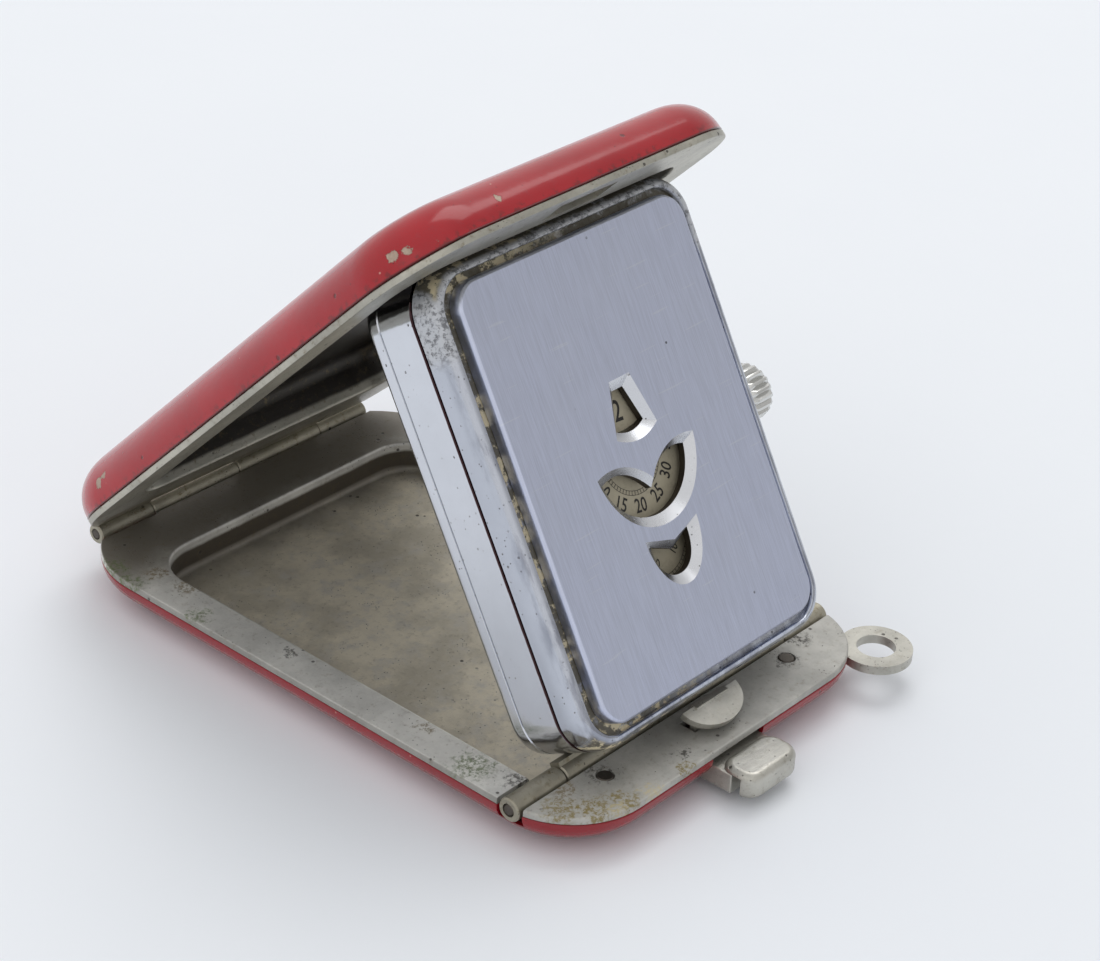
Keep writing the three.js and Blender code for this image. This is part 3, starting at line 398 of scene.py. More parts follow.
def enamel(name, place, rim_z, chips, shade=1.0):
    """Glossy red enamel with a dark rim, pits and flecks; chips are (point, radius) of bare metal; shade
    below 1 darkens all the red, as painted shade.
    """
    look = Look(name, place, Coat_Weight=0.15, Coat_Roughness=0.05, Specular_IOR_Level=0.4)
    cloud = look.noise(0.12, 3)
    red = look.mix(look.step(cloud, 0.35, 0.65), (0.34 * shade, 0.008, 0.014), (0.39 * shade, 0.010, 0.017))
    haze = look.step(look.noise(1.1, 6, 0.68), 0.52, 0.8)
    red = look.mix(look.times(haze, 0.35), red, (0.28, 0.03, 0.04))
    pits = look.math("MAXIMUM", look.spots(0.9, 0.03, 0.025), look.spots(0.34, 0.045, 0.03, 3.1))
    red = look.mix(look.times(pits, 0.8), red, (0.09, 0.012, 0.012))
    flecks = look.spots(0.7, 0.035, 0.03, 6.3)
    flecks = look.times(flecks, look.step(look.noise(0.25, 3), 0.42, 0.55))
    red = look.mix(look.times(flecks, 0.75), red, (0.62, 0.34, 0.28))
    worn = look.step(look.z, rim_z + 0.7, rim_z + 0.25)
    worn = look.times(worn, look.step(look.noise(1.6, 5, 0.7), 0.5, 0.6))
    red = look.mix(look.times(worn, 0.6), red, (0.10, 0.015, 0.015))
    rim = look.step(look.z, rim_z + 0.2, rim_z + 0.06)
    red = look.mix(look.times(rim, 0.8), red, (0.05, 0.01, 0.012))
    ragged = look.math("SUBTRACT", look.noise(2.4, 4), 0.5)
    bare = 0.0
    for point, radius in chips:
        bare = look.math("MAXIMUM", bare, look.near(point, radius, 0.1, ragged))
    tan = look.mix(look.noise(5, 3), (0.30, 0.20, 0.15), (0.55, 0.45, 0.36))
    red = look.mix(bare, red, tan)
    smear = look.span(look.noise(0.7, 5), 0.10, 0.26)
    level = look.math("SUBTRACT", look.times(look.noise(0.5, 2), 0.5), bare)
    level = look.math("SUBTRACT", level, look.times(pits, 0.6))
    return look.finish(
        Base_Color=red,
        Roughness=look.blend(bare, smear, 0.55),
        Metallic=look.times(bare, 0.5),
        Normal=look.bump(level, 0.06),
    )


def nickel(name, place, base, rough=0.34, stain=0.45, marks=(), grain=(0.3, 7, 7),
           metal=0.75, deep=None, rear_shade=None):
    """Worn nickel plate; marks are (point, radius, colour) of deposits.

    deep recolours a pocket: z of its brink, z of its floor, two floor colours and the wall colour, which is
    painted shade on the wall; both heights are negative for a pocket that opens downwards. rear_shade is
    (y, y, colour) of painted shade on the base, darker towards its rear; it grows from the first y to the
    second, leaves out the wall of the pocket and also darkens the outer left and right sides of the flange.
    """
    look = Look(name, place)
    cloud = look.noise(0.2, 6, 0.68)
    dull = tuple(0.7 * c for c in base)
    tone = look.mix(look.step(cloud, 0.32, 0.68), base, dull)
    if deep is not None:
        brink, bottom, floor_tint, patch_tint, wall_shade_tint = deep
        uneven = look.times(look.noise(0.6, 3), 0.2)
        level = look.math("ADD", look.times(look.z, math.copysign(1, brink)), uneven)
        blotches = look.step(look.noise(0.17, 5, 0.62, shift=6), 0.4, 0.62)
        floor_tone = look.mix(blotches, floor_tint, tuple(0.72 * c for c in floor_tint))
        floor_tone = look.mix(look.step(look.noise(0.5, 6, 0.7, shift=15), 0.45, 0.7), floor_tone, patch_tint)
        # painted shade: the wall of the pocket takes the dark wall colour
        inside_tone = look.mix(look.step(level, bottom + 0.1, bottom - 0.25), wall_shade_tint, floor_tone)
        tone = look.mix(look.step(level, brink, brink - 0.35), tone, inside_tone)
    # painted shade: the base grows darker towards its rear, on the flange and the pocket floor
    if rear_shade is not None:
        first_y, last_y, rear_shade_tint = rear_shade
        rear_shaded = look.step(look.math("ADD", look.y, look.times(cloud, 4)), first_y + 2, last_y + 2)
        wall = look.step(look.z, BASE_TOP - 0.02, BASE_TOP - 0.1)
        wall = look.times(wall, look.step(look.z, 1.2, 1.4))
        rear_shaded = look.times(rear_shaded, look.math("SUBTRACT", 1.0, wall))
        tone = look.mix(rear_shaded, tone, rear_shade_tint)
        side = look.step(look.math("ABSOLUTE", look.x), CASE_X[1] - 0.45, CASE_X[1] - 0.2)
        side = look.times(side, look.step(look.z, BASE_TOP - 0.02, BASE_TOP - 0.08))
        tone = look.mix(look.times(side, 0.7), tone, (0.16, 0.15, 0.13))
    fine = look.noise(1.9, 6, 0.7, shift=4)
    tone = look.mix(look.times(look.step(fine, 0.52, 0.76), stain), tone, BROWN)
    pits = look.math("MAXIMUM", look.spots(1.5, 0.05, 0.04), look.spots(0.6, 0.06, 0.04, 5))
    eaten = look.step(look.noise(0.45, 4, shift=2), 0.53, 0.62)
    eaten = look.times(look.spots(3.4, 0.11, 0.08, 8), eaten)
    pits = look.times(pits, look.step(look.noise(0.3, 2, shift=9), 0.38, 0.55))
    pits = look.math("MAXIMUM", pits, eaten)
    tone = look.mix(look.times(pits, 0.85), tone, SOOT)
    ragged = look.times(look.math("SUBTRACT", look.noise(1.8, 6, 0.7), 0.5), 3.5)
    broken = look.step(look.noise(2.6, 6, 0.75, shift=13), 0.44, 0.56)
    crust = look.times(pits, 0.5)
    for point, radius, colour in marks:
        mark = look.times(look.near(point, radius * 0.6, radius * 0.7, ragged), broken)
        tone = look.mix(look.times(mark, 0.85), tone, colour)
        crust = look.math("MAXIMUM", crust, mark)
    streaks = look.noise(1.0, 4, 0.6, stretch=grain)
    level = look.math("ADD", look.times(streaks, 0.25), look.times(fine, 0.5))
    level = look.math("SUBTRACT", level, pits)
    crusty = look.times(crust, 0.3)
    return look.finish(
        Base_Color=tone,
        Roughness=look.math("ADD", look.span(streaks, rough - 0.05, rough + 0.12), crusty),
        Metallic=look.math("SUBTRACT", metal, look.times(crust, 0.5)),
        Normal=look.bump(level, 0.05),
    )


def chrome(name, place, rough=0.13, pitting=0.3, base=(0.71, 0.73, 0.78)):
    """Smooth plating with fine scratches and scattered pits: its look, colour, roughness and bump."""
    look = Look(name, place)
    cloud = look.noise(0.35, 4, 0.6)
    tone = look.mix(cloud, base, tuple(0.86 * c for c in base))
    pits = look.math("MAXIMUM", look.spots(2.2, 0.07, 0.06), look.spots(1.1, 0.06, 0.05, 2))
    pits = look.times(pits, look.step(look.noise(0.5, 3, shift=7), 0.62 - pitting, 0.8 - pitting))
    tone = look.mix(look.times(pits, 0.7), tone, (0.12, 0.11, 0.10))
    scratches = look.noise(1.0, 2, 0.5, stretch=(9, 0.4, 3))
    level = look.math("SUBTRACT", look.times(scratches, 0.1), pits)
    return look, tone, look.span(cloud, rough - 0.04, rough + 0.1), look.bump(level, 0.04)


def plain_chrome(name, place, shaded_seam=None, **options):
    """Chrome; shaded_seam is the height of the joint line to the bezel, painted dark from there upwards as
    painted shade in the gap.
    """
    look, tone, rough, normal = chrome(name, place, **options)
    if shaded_seam is not None:
        grime_and_shade_noise = look.times(look.noise(0.8, 3), 0.06)
        # painted shade: the top edge of the band is darkened where it meets the bezel, with a noisy edge
        dark = look.step(look.math("ADD", look.z, grime_and_shade_noise), shaded_seam, shaded_seam + 0.06)
        tone = look.mix(dark, tone, (0.05, 0.025, 0.028))
    return look.finish(Base_Color=tone, Roughness=rough, Metallic=1.0, Normal=normal)


def bezel_chrome(name, place):
    """Chrome with deposits in the groove round the faceplate, and painted shade along its lower edge at the
    band.
    """
    look, tone, rough, normal = chrome(name, place, rough=0.14, pitting=0.3, base=(0.56, 0.585, 0.65))
    # painted shade: the lower edge of the bezel is darkened where it meets the band
    groove = look.step(look.z, 3.22, 3.08)
    tone = look.mix(groove, tone, (0.05, 0.03, 0.035))
    clouded = look.step(look.noise(0.6, 5, 0.65, stretch=(1, 0.25, 1), shift=21), 0.45, 0.62)
    upper = look.step(look.z, 3.9, 4.9)
    clouded = look.times(clouded, upper)
    tone = look.mix(look.times(clouded, 0.6), tone, (0.20, 0.21, 0.26))
    top = look.step(look.y, 28.6, 30.2)
    scuffs = look.step(look.noise(2.2, 6, 0.75, shift=23), 0.47, 0.6)
    tone = look.mix(look.times(top, 0.7), tone, (0.55, 0.56, 0.58))
    scuffs = look.times(top, scuffs)
    tone = look.mix(look.times(scuffs, 0.8), tone, (0.10, 0.10, 0.11))
    low = look.step(look.z, GROOVE_Z + 0.45, GROOVE_Z + 0.1)
    inside = look.step(look.math("ABSOLUTE", look.x), GROOVE_X[1] + 0.5, GROOVE_X[1] + 0.1)
    left = look.step(look.x, 4.0, -9.0)
    patchy = look.noise(0.35, 6, 0.7, shift=3)
    dirt = look.times(look.times(low, inside), look.step(patchy, 0.36, 0.5))
    dirt = look.times(dirt, look.math("MAXIMUM", look.math("MAXIMUM", left, top), 0.25))
    tone = look.mix(look.times(dirt, 0.9), tone, (0.10, 0.085, 0.05))
    crust = look.times(look.step(look.noise(0.8, 6, 0.7, shift=11), 0.5, 0.56), left)
    crust = look.times(crust, look.times(low, inside))
    tone = look.mix(crust, tone, (0.66, 0.58, 0.40))
    covered = look.math("MAXIMUM", dirt, crust)
    return look.finish(
        Base_Color=tone,
        Roughness=look.blend(covered, rough, 0.7),
        Metallic=look.math("SUBTRACT", 1.0, look.times(look.math("MAXIMUM", covered, top), 0.75)),
        Normal=normal,
    )


def brushed_steel(name, place):
    """Satin steel brushed along the length of the part."""
    base, rough = (0.56, 0.595, 0.74), 0.34
    look = Look(name, place)
    lines = look.noise(1.0, 5, 0.65, stretch=(16, 0.35, 4))
    wide = look.noise(0.16, 3)
    tone = look.mix(look.step(lines, 0.25, 0.75), tuple(0.88 * c for c in base), tuple(1.1 * c for c in base))
    tone = look.mix(look.times(wide, 0.3), tone, (0.58, 0.60, 0.66))
    specks = look.times(look.spots(0.45, 0.035, 0.02, 8), look.step(look.noise(0.4, 2), 0.5, 0.6))
    tone = look.mix(look.times(specks, 0.8), tone, SOOT)
    scratch = look.step(look.noise(0.9, 1, 0.4, stretch=(0.25, 5, 1), shift=6), 0.70, 0.74)
    tone = look.mix(look.times(scratch, 0.25), tone, (0.75, 0.77, 0.8))
    return look.finish(
        Base_Color=tone,
        Roughness=look.span(lines, rough - 0.06, rough + 0.1),
        Metallic=1.0,
        Normal=look.bump(look.math("SUBTRACT", lines, specks), 0.012),
    )


def worn_metal(name, place, base, rough, metallic=1.0, dirt=0.4, scale=1.0):
    """General metal with mottling, dirt and turning marks, for the works and small parts."""
    look = Look(name, place)
    mottle = look.noise(0.7 * scale, 5, 0.62)
    tone = look.mix(mottle, base, tuple(0.7 * c for c in base))
    grime_and_shade_noise = look.step(look.noise(2.2 * scale, 5, 0.7, shift=5), 0.5, 0.78)
    tone = look.mix(look.times(grime_and_shade_noise, dirt), tone, tuple(0.25 * c for c in base))
    return look.finish(
        Base_Color=tone,
        Roughness=look.span(mottle, rough - 0.08, rough + 0.12),
        Metallic=look.times(metallic, look.span(grime_and_shade_noise, 1.0, 0.8)),
        Normal=look.bump(look.noise(4 * scale, 4), 0.02),
    )


COVER_CHIPS = [
    ((-15.85, -47.76, 2.0), 0.3),
    ((-15.3, -48.6, 1.9), 0.26),
    ((-8.1, -50.6, 2.3), 0.2),
    ((-16.65, -7.7, 2.4), 0.32),
    ((-16.55, -8.6, 2.6), 0.22),
    ((-13.6, -49.6, 1.4), 0.15),
    ((14.0, -30.0, 2.6), 0.2),
    ((9.0, -6.0, 3.4), 0.18),
]
BASE_CHIPS = [
    ((-16.9, 18.0, 1.9), 0.2),
    ((15.8, -18.5, 1.6), 0.22),
]
RED_COVER = enamel("enamel_cover", COVER, 0.9, COVER_CHIPS)
RED_PANEL = enamel("enamel_panel", COVER, 3.85, [])
# painted shade: the base wears the cover's enamel darkened, so that the lower shell looks less lit
RED_BASE = enamel("enamel_base", BASE, -5.0, BASE_CHIPS, shade=0.72)
FLANGE_MARKS = [
    ((-16.7, 21.4, 3.3), 1.3, GREEN),
    ((-16.9, 18.8, 3.2), 1.2, GREEN),
    ((-14.6, 18.4, 3.4), 0.8, BROWN),
    ((-15.6, -14.5, 3.4), 1.5, GREEN),
    ((-14.4, -17.6, 3.4), 1.0, SOOT),
    ((-16.3, 12.0, 3.4), 0.9, GREEN),
    ((-14.6, -9.0, 3.4), 0.6, BROWN),
    ((-14.2, 15.4, 3.4), 1.1, BROWN),
    ((-14.9, 4.0, 3.4), 0.5, SOOT),
]
PLATE_MARKS = [
    ((-14.9, -21.9, 3.4), 1.3, OLIVE),
    ((-13.2, -23.5, 3.4), 1.3, OLIVE),
    ((-11.4, -24.2, 3.4), 1.2, OLIVE),
    ((-12.3, -24.3, 3.4), 0.7, CREAM),
    ((-9.0, -24.8, 3.4), 0.9, CREAM),
    ((-5.5, -24.8, 3.4), 0.7, OLIVE),
    ((-13.2, -20.6, 3.4), 0.9, BROWN),
    ((12.5, -20.6, 3.4), 0.8, SOOT),
    ((-10.2, -21.1, 3.4), 0.9, SOOT),
    ((9.7, -21.6, 3.4), 0.8, SOOT),
    ((-4.4, -23.6, 3.4), 0.5, SOOT),
]
NICKEL_BASE = nickel(
    "nickel_base",
    BASE,
    base=(0.82, 0.81, 0.77),
    rough=0.44,
    metal=0.4,
    marks=FLANGE_MARKS,
    # painted shade towards the rear of the base
    rear_shade=(15.5, 21.5, (0.23, 0.21, 0.18)),
    # the last colour, near black, is painted shade on the pocket wall
    deep=(2.95, 1.2, (0.88, 0.81, 0.66), (0.70, 0.66, 0.58), (0.10, 0.085, 0.065)),
)
NICKEL_PLATE = nickel(
    "nickel_plate",
    BASE,
    base=(0.50, 0.49, 0.455),
    rough=0.5,
    metal=0.35,
    marks=PLATE_MARKS,
)
NICKEL_COVER = nickel(
    "nickel_cover",
    COVER,
    base=(0.52, 0.50, 0.43),
    stain=0.75,
    deep=(-0.9, -3.35, (0.045, 0.04, 0.038), (0.03, 0.028, 0.028), (0.05, 0.045, 0.04)),
)
NICKEL_HINGE = nickel(
    "nickel_hinge",
    BASE,
    base=(0.42, 0.39, 0.31),
    rough=0.4,
    stain=1.0,
    grain=(7, 0.4, 0.4),
)
NICKEL_SMALL = nickel("nickel_small", BASE, base=(0.56, 0.545, 0.49), stain=0.5, rough=0.3, metal=0.8)
DARK_STEEL = worn_metal("steel_pin", BASE, (0.13, 0.115, 0.10), 0.45, dirt=0.6)
# painted shade along the top edge of the band
CHROME_BODY = plain_chrome("chrome_body", WATCH, shaded_seam=2.87, rough=0.12, pitting=0.16)
CHROME_BEZEL = bezel_chrome("chrome_bezel", WATCH)
CHROME_SMALL = plain_chrome("chrome_small", WATCH, rough=0.2, pitting=0.3, base=(0.72, 0.72, 0.70))
STEEL_FACE = brushed_steel("steel_face", WATCH)
STEEL_BEVEL = plain_chrome("steel_bevel", WATCH, rough=0.24, pitting=0.2, base=(0.70, 0.71, 0.74))
# painted shade: the inner walls of the face windows are near black
STEEL_WALL_SHADED = worn_metal("steel_wall_shaded", WATCH, (0.10, 0.085, 0.07), 0.5, dirt=0.5)
STEEL_WORKS = worn_metal("steel_works", WATCH, (0.50, 0.50, 0.52), 0.3)
BRASS_WORKS = worn_metal("brass_works", WATCH, (0.62, 0.45, 0.18), 0.32)
BLUED_WORKS = worn_metal("blued_works", WATCH, (0.03, 0.05, 0.16), 0.28, dirt=0.2)
DISC_FACE = worn_metal("disc_metal", WATCH, (0.52, 0.47, 0.35), 0.5, metallic=0.25, dirt=0.35)
INK = worn_metal("ink", WATCH, (0.025, 0.022, 0.02), 0.55, metallic=0.0, dirt=0.2, scale=3.0)

# ---- base ----

FLANGE_Z = BASE_TOP - 0.55
FLANGE_EDGE = [
    (0.05, FLANGE_Z),
    (0, FLANGE_Z + 0.05),
    (0, BASE_TOP - 0.16),
    (0.05, BASE_TOP - 0.05),
    (0.16, BASE_TOP),
]
POCKET_X = (-13.8, 13.8)
POCKET_REAR = 20
POCKET_R = 3.5
FLOOR_Z = 0.85
LINER = 0.2
CHANNEL = 1.05
HIGH = 9
ACROSS = (-18, 18)
CATCH_X = (-2.8, 2.8)
NOSE_Y, NOSE_WALL = (-28.5, -25.3), 1.1
BAIL_REACH = 8.65
BAIL_R, BAIL_HOLE_R = 2.7, 1.45
BAIL_X = CASE_X[1] - FRONT_R + BAIL_REACH * math.sqrt(0.5)
BAIL_Y = CASE_Y[0] + FRONT_R - BAIL_REACH * math.sqrt(0.5)
BAIL_Z = (2.1, 2.8)


def crown_notch():
    return rod("X", (-1.2, 4.8), 2.4, (13, 18))


def shank(width, z, length):
    """A bar from the middle of the loop towards the middle of the case's corner."""
    bar = block((-width / 2, width / 2), (0, length), z)
    bar.data.transform(Matrix.Rotation(math.radians(45), 4, "Z"))
    bar.data.transform(Matrix.Translation((BAIL_X, BAIL_Y, 0)))
    return bar


shell_profile = [
    *rounding((5, 0), (0, 2.74), 12, level_first=True),
    (0.06, SHELL_Z[1]),
    (0.3, SHELL_Z[1]),
    *rounding((0.3, 2.7), (5.1, 0.3), 8),
]
shell = pillar(case_outline, shell_profile)
cut(
    shell,
    block(ACROSS, (HINGE_Y - CHANNEL, HINGE_Y + CHANNEL), (HINGE_Z - CHANNEL, HIGH)),
    block(CATCH_X, (-30, -20), (0.7, HIGH)),
    shank(2.6, (2.05, HIGH), 5.25),
    rod("Z", (BAIL_X, BAIL_Y), BAIL_R + 0.05, (2.05, HIGH)),
    block((-8.9, 14.15), (24, 26), (2.35, HIGH)),
    crown_notch(),
)
publish(shell, "shell_base", BASE, RED_BASE, "base", "enamel", "base_shell")


def base_frame():
    """Flange with a chamfered rim and the tub of the pocket."""
    pocket_y = (HINGE_Y + CHANNEL - 6, POCKET_REAR)

    def pocket(grow):
        return rounded_rect(POCKET_X, pocket_y, POCKET_R, -grow)

    solid = Solid()
    outer = [solid.ring(case_outline(inset), z) for inset, z in FLANGE_EDGE]
    wall = [(0.28, BASE_TOP), (0.12, BASE_TOP - 0.05), (0.03, BASE_TOP - 0.14), (0, BASE_TOP - 0.3)]
    wall += [(0, FLOOR_Z + 0.5), (-0.06, FLOOR_Z + 0.25), (-0.2, FLOOR_Z + 0.08), (-0.45, FLOOR_Z)]
    inner = [solid.ring(pocket(grow), z) for grow, z in wall]
    tub = [solid.ring(pocket(LINER), z) for z in (FLANGE_Z, FLOOR_Z - LINER + 0.2)]
    tub.append(solid.ring(pocket(LINER - 0.3), FLOOR_Z - LINER))
    solid.skin(outer)
    solid.fill(outer[-1], inner[0])
    solid.skin(inner)
    solid.cap(inner[-1])
    solid.fill(outer[0], tub[0])
    solid.skin(tub)
    solid.cap(tub[-1])
    made = solid.object()
    cut(
        made,
        block(ACROSS, (-30, HINGE_Y + CHANNEL), (-1, HIGH)),
        block((-15.1, -8.85), (24.7, 26), (-1, HIGH)),
        crown_notch(),
    )
    return made


publish(base_frame(), "frame_base", BASE, NICKEL_BASE, "base", "nickel", "base_frame")

# front plate with the slot of the hook and the recesses of its rivets
HOOK_Y, HOOK_T, HOOK_HALF, HOOK_TOP = -22.2, 0.5, 1.7, 5.3
SCREW_X, SCREW_Y = 10, -21.4
plate = pillar(case_outline, FLANGE_EDGE)
cut(
    plate,
    block(ACROSS, (HINGE_Y - CHANNEL - 0.05, 26), (-1, HIGH)),
    block((-HOOK_HALF - 0.15, HOOK_HALF + 0.15), (HOOK_Y - 0.37, HOOK_Y + 1.07), (-1, HIGH)),
    *[rod("Z", (x, SCREW_Y), 0.67, (3.05, HIGH)) for x in (-SCREW_X, SCREW_X)],
    *[rod("Z", (x, SCREW_Y), 0.4, (1, 3.2)) for x in (-SCREW_X, SCREW_X)],
)
publish(soften(plate, 0.07), "plate_front", BASE, NICKEL_PLATE, "base", "nickel", "front_plate")
for side, word in ((-1, "left"), (1, "right")):
    screw = join(
        rod("Z", (side * SCREW_X, SCREW_Y), 0.62, (3.1, BASE_TOP), chamfer=0.1),
        rod("Z", (side * SCREW_X, SCREW_Y), 0.35, (1.4, 3.2)),
    )
    node = f"plate_screw_{word}"
    publish(screw, f"rivet_{word}", BASE, DARK_STEEL, "base", "steel", node)
    ends = sorted((side * 12.0, side * CASE_X[1]))
    knuckle = rod("X", (HINGE_Y, HINGE_Z), 0.9, ends, chamfer=0.12, bore=0.5)
    publish(knuckle, f"knuckle_{word}", BASE, NICKEL_HINGE, "base", "nickel", f"front_knuckle_{word}")

pin = rod("X", (HINGE_Y, HINGE_Z), 0.45, CASE_X, chamfer=0.1)
publish(pin, "pin_front", BASE, DARK_STEEL, "base", "steel", "front_hinge_pin")

ring = rod("Z", (BAIL_X, BAIL_Y), BAIL_R, BAIL_Z, steps=56)
join(ring, shank(2.4, BAIL_Z, 4.75))
cut(ring, rod("Z", (BAIL_X, BAIL_Y), BAIL_HOLE_R, (0, HIGH), steps=48))
publish(soften(ring, 0.16, 3), "bail", BASE, NICKEL_SMALL, "base", "nickel", "bail_loop")

# ---- button and catch ----

guide = block((-2.75, 2.75), (-26.6, -23.4), (0.75, 2.3))
cut(guide, block((-1.58, 1.58), (-28, -22), (1.12, 1.88)))
publish(soften(guide, 0.12, 3), "guide", BASE, NICKEL_SMALL, "base", "nickel", "button_guide")


def catch():
    """Pill-shaped button with the bar and the hook, whose head slopes down to the front."""
    nose_profile = [
        *rounding((0.6, 0.75), (0, 1.3), 5, level_first=True),
        *rounding((0, 2.2), (0.6, 2.8), 6),
    ]
    nose = pillar(lambda inset: rounded_rect(CATCH_X, NOSE_Y, 1.3, inset), nose_profile)
    guide_room = block((-4, 4), (NOSE_Y[0] + NOSE_WALL, -20), (0, 2.36))
    cut(nose, guide_room)
    bar = block((-1.5, 1.5), (NOSE_Y[0] + 1, HOOK_Y + HOOK_T / 2), (1.2, 1.8))
    stem = block((-HOOK_HALF, HOOK_HALF), (HOOK_Y - HOOK_T / 2, HOOK_Y + HOOK_T / 2), (1.2, HOOK_TOP))
    moon = [(2.9 * math.cos(a), 2.2 * math.sin(a)) for a in (math.pi * (1 + i / 28) for i in range(29))]
    head = pillar(lambda inset: moon, [(0, 0), (0, HOOK_T)])
    head.data.transform(Matrix.Rotation(math.pi / 8, 4, "X"))
    head.data.transform(Matrix.Translation((0, HOOK_Y + HOOK_T / 2, HOOK_TOP - HOOK_T)))
    return soften(join(nose, bar, stem, head), 0.09, 3)


publish(catch(), "catch", BASE, NICKEL_SMALL, "catch", "nickel", "button_catch")

SPRING_BOX = local_box("button_spring", BASE)


def button_spring():
    """Zigzag of flat wire between the hook and the stop bar."""
    sides, (start, end), (low, high) = SPRING_BOX
    waves, wire = 6, 0.12
    step = (end - start - wire) / waves
    bends = [(sides[wave % 2], start + wave * step) for wave in range(waves + 1)]
    outline = bends + [(x, y + wire) for x, y in reversed(bends)]
    return pillar(lambda inset: outline, [(0, low), (0, high)])


# the spring shortens towards the stop bar by the travel of the button, about half its length; here it only
# gets a mesh of its own
spring = publish(button_spring(), "spring_button", BASE, STEEL_WORKS, "base", "steel", "button_spring")
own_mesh(spring)

# ---- hinges ----

REAR = Matrix.Translation(JOINTS["cover_open"]["pos_m"])
STEPS = (-14.1, -8.85, 0, 8.85, 14.1)
KNUCKLE_GAP = 0.025
LEAF_REACH = -2.75


def leaf(spans, centre_z):
    """Knuckles on a strip that lies flat against the case."""
    z = (centre_z - 0.2, centre_z + 0.2)
    widths = [(a + KNUCKLE_GAP, b - KNUCKLE_GAP) for a, b in spans]
    parts = [rod("X", (0, 0), 0.8, width, chamfer=0.1, steps=32) for width in widths]
    parts += [block(width, (LEAF_REACH, 0), z) for width in widths]
    parts.append(block((spans[0][0] + 0.03, spans[-1][1] - 0.03), (LEAF_REACH, -1.15), z))
    made = join(*parts)
    return cut(made, rod("X", (0, 0), 0.45, ACROSS, steps=24))


base_leaf = leaf([STEPS[1:3], STEPS[3:5]], FLANGE_Z - REAR_Z - 0.25)
publish(base_leaf, "leaf_base", REAR, NICKEL_HINGE, "base", "nickel", "rear_hinge_base_leaf")
cover_leaf = leaf([STEPS[0:2], STEPS[2:4]], 0.6)
publish(cover_leaf, "leaf_cover", COVER, NICKEL_HINGE, "cover", "nickel", "rear_hinge_cover_leaf")
rear_pin = rod("X", (0, 0), 0.4, (STEPS[0], STEPS[4]), chamfer=0.08)
publish(rear_pin, "pin_rear", REAR, DARK_STEEL, "base", "steel", "rear_hinge_pin")
watch_span = (-11.9, 11.9)
watch_leaf = join(rod("X", (0, 0), 0.9, watch_span, chamfer=0.1), block(watch_span, (0, 1.1), (-0.45, 0.45)))
cut(watch_leaf, rod("X", (0, 0), 0.5, ACROSS))
publish(watch_leaf, "leaf_watch", WATCH, NICKEL_HINGE, "watch", "nickel", "watch_hinge_leaf")

# ---- cover ----

MIDDLE_Y = -REAR_Y
TOP_Z = 4.3
RIM_Z = 0.35


def cover_outline(inset):
    return case_outline(inset, shift=MIDDLE_Y)


outside_profile = [(0.08, 0.9), (0, 0.97), *rounding((0.03, TOP_Z - 3.25), (3.33, TOP_Z - 0.01), 14)]
inside_profile = [*rounding((0.35, 1), (3.4, 3.95), 8)[::-1], (0.35, 0.9)]


def cover_shell():
    solid = Solid()
    outside = [solid.ring(cover_outline(inset), z) for inset, z in outside_profile]
    inside = [solid.ring(cover_outline(inset), z) for inset, z in inside_profile]
    solid.skin(outside)
    solid.cap(outside[-1])
    solid.skin(inside)
    solid.cap(inside[0])
    solid.skin([inside[-1], outside[0]])
    return solid.object()


publish(cover_shell(), "shell_cover", COVER, RED_COVER, "cover", "enamel", "cover_shell")


def panel_outline(inset):
    return rounded_rect((-12.5, 12.5), (MIDDLE_Y - 19, MIDDLE_Y + 19), 3, inset)


panel_profile = [
    (0.04, TOP_Z + 0.05),
    (0, TOP_Z + 0.08),
    *rounding((0.01, TOP_Z + 0.1), (0.2, TOP_Z + 0.24), 5),
]
panel = pillar(panel_outline, panel_profile)
publish(panel, "panel_cover", COVER, RED_PANEL, "cover", "enamel", "cover_panel")


def cover_frame():
    """Rim and pocket of the cover; the pocket's far edge is rounded like the shell."""
    pocket_y = (-46.3, -6)

    def pocket(inset):
        return rounded_rect(POCKET_X, pocket_y, POCKET_R, inset)

    solid = Solid()
    outer = [(0.05, 0.85), (0, 0.8), (0, RIM_Z + 0.14), (0.04, RIM_Z + 0.04), (0.14, RIM_Z)]
    outer = [solid.ring(cover_outline(inset), z) for inset, z in outer]
    inner = [(-0.25, RIM_Z), (-0.08, RIM_Z + 0.06), (0, RIM_Z + 0.25), *rounding((0, 2.5), (1.2, 3.7), 7)]
    inner = [solid.ring(pocket(inset), z) for inset, z in inner]
    tub = [(-0.18, 0.85), *rounding((-0.18, 2.68), (1.02, 3.88), 7)]
    tub = [solid.ring(pocket(inset), z) for inset, z in tub]
    solid.skin(outer)
    solid.fill(outer[-1], inner[0])
    solid.skin(inner)
    solid.cap(inner[-1])
    solid.fill(outer[0], tub[0])
    solid.skin(tub)
    solid.cap(tub[-1])
    made = solid.object()
    cut(made, block((-14.15, 8.9), (-2.8, 0), (-1, 0.85)), block(CATCH_X, (-49.8, -47.4), (-1, 2)))
    return made


publish(cover_frame(), "frame_cover", COVER, NICKEL_COVER, "cover", "nickel", "cover_frame")

# ---- watch case ----

BODY_X, BODY_Y, BODY_R = (-13.05, 13.05), (1.15, 35.3), 3.2
CROWN_Y, CROWN_Z = 17.8, 1.9
FACE_X, FACE_Y, FACE_R, FACE_Z = (-11.3, 11.3), (2.75, 33.85), 2, 5.85


def body_outline(inset):
    return rounded_rect(BODY_X, BODY_Y, BODY_R, inset, FINE)


back_profile = [
    *rounding((0.9, -2), (0, -1.1), 8, level_first=True),
    (0, -0.52),
    (0.1, -0.45),
    (0.9, -0.45),
    (0.9, -1.5),
]
publish(pillar(body_outline, back_profile), "back_watch", WATCH, CHROME_BODY, "watch", "chrome", "case_back")

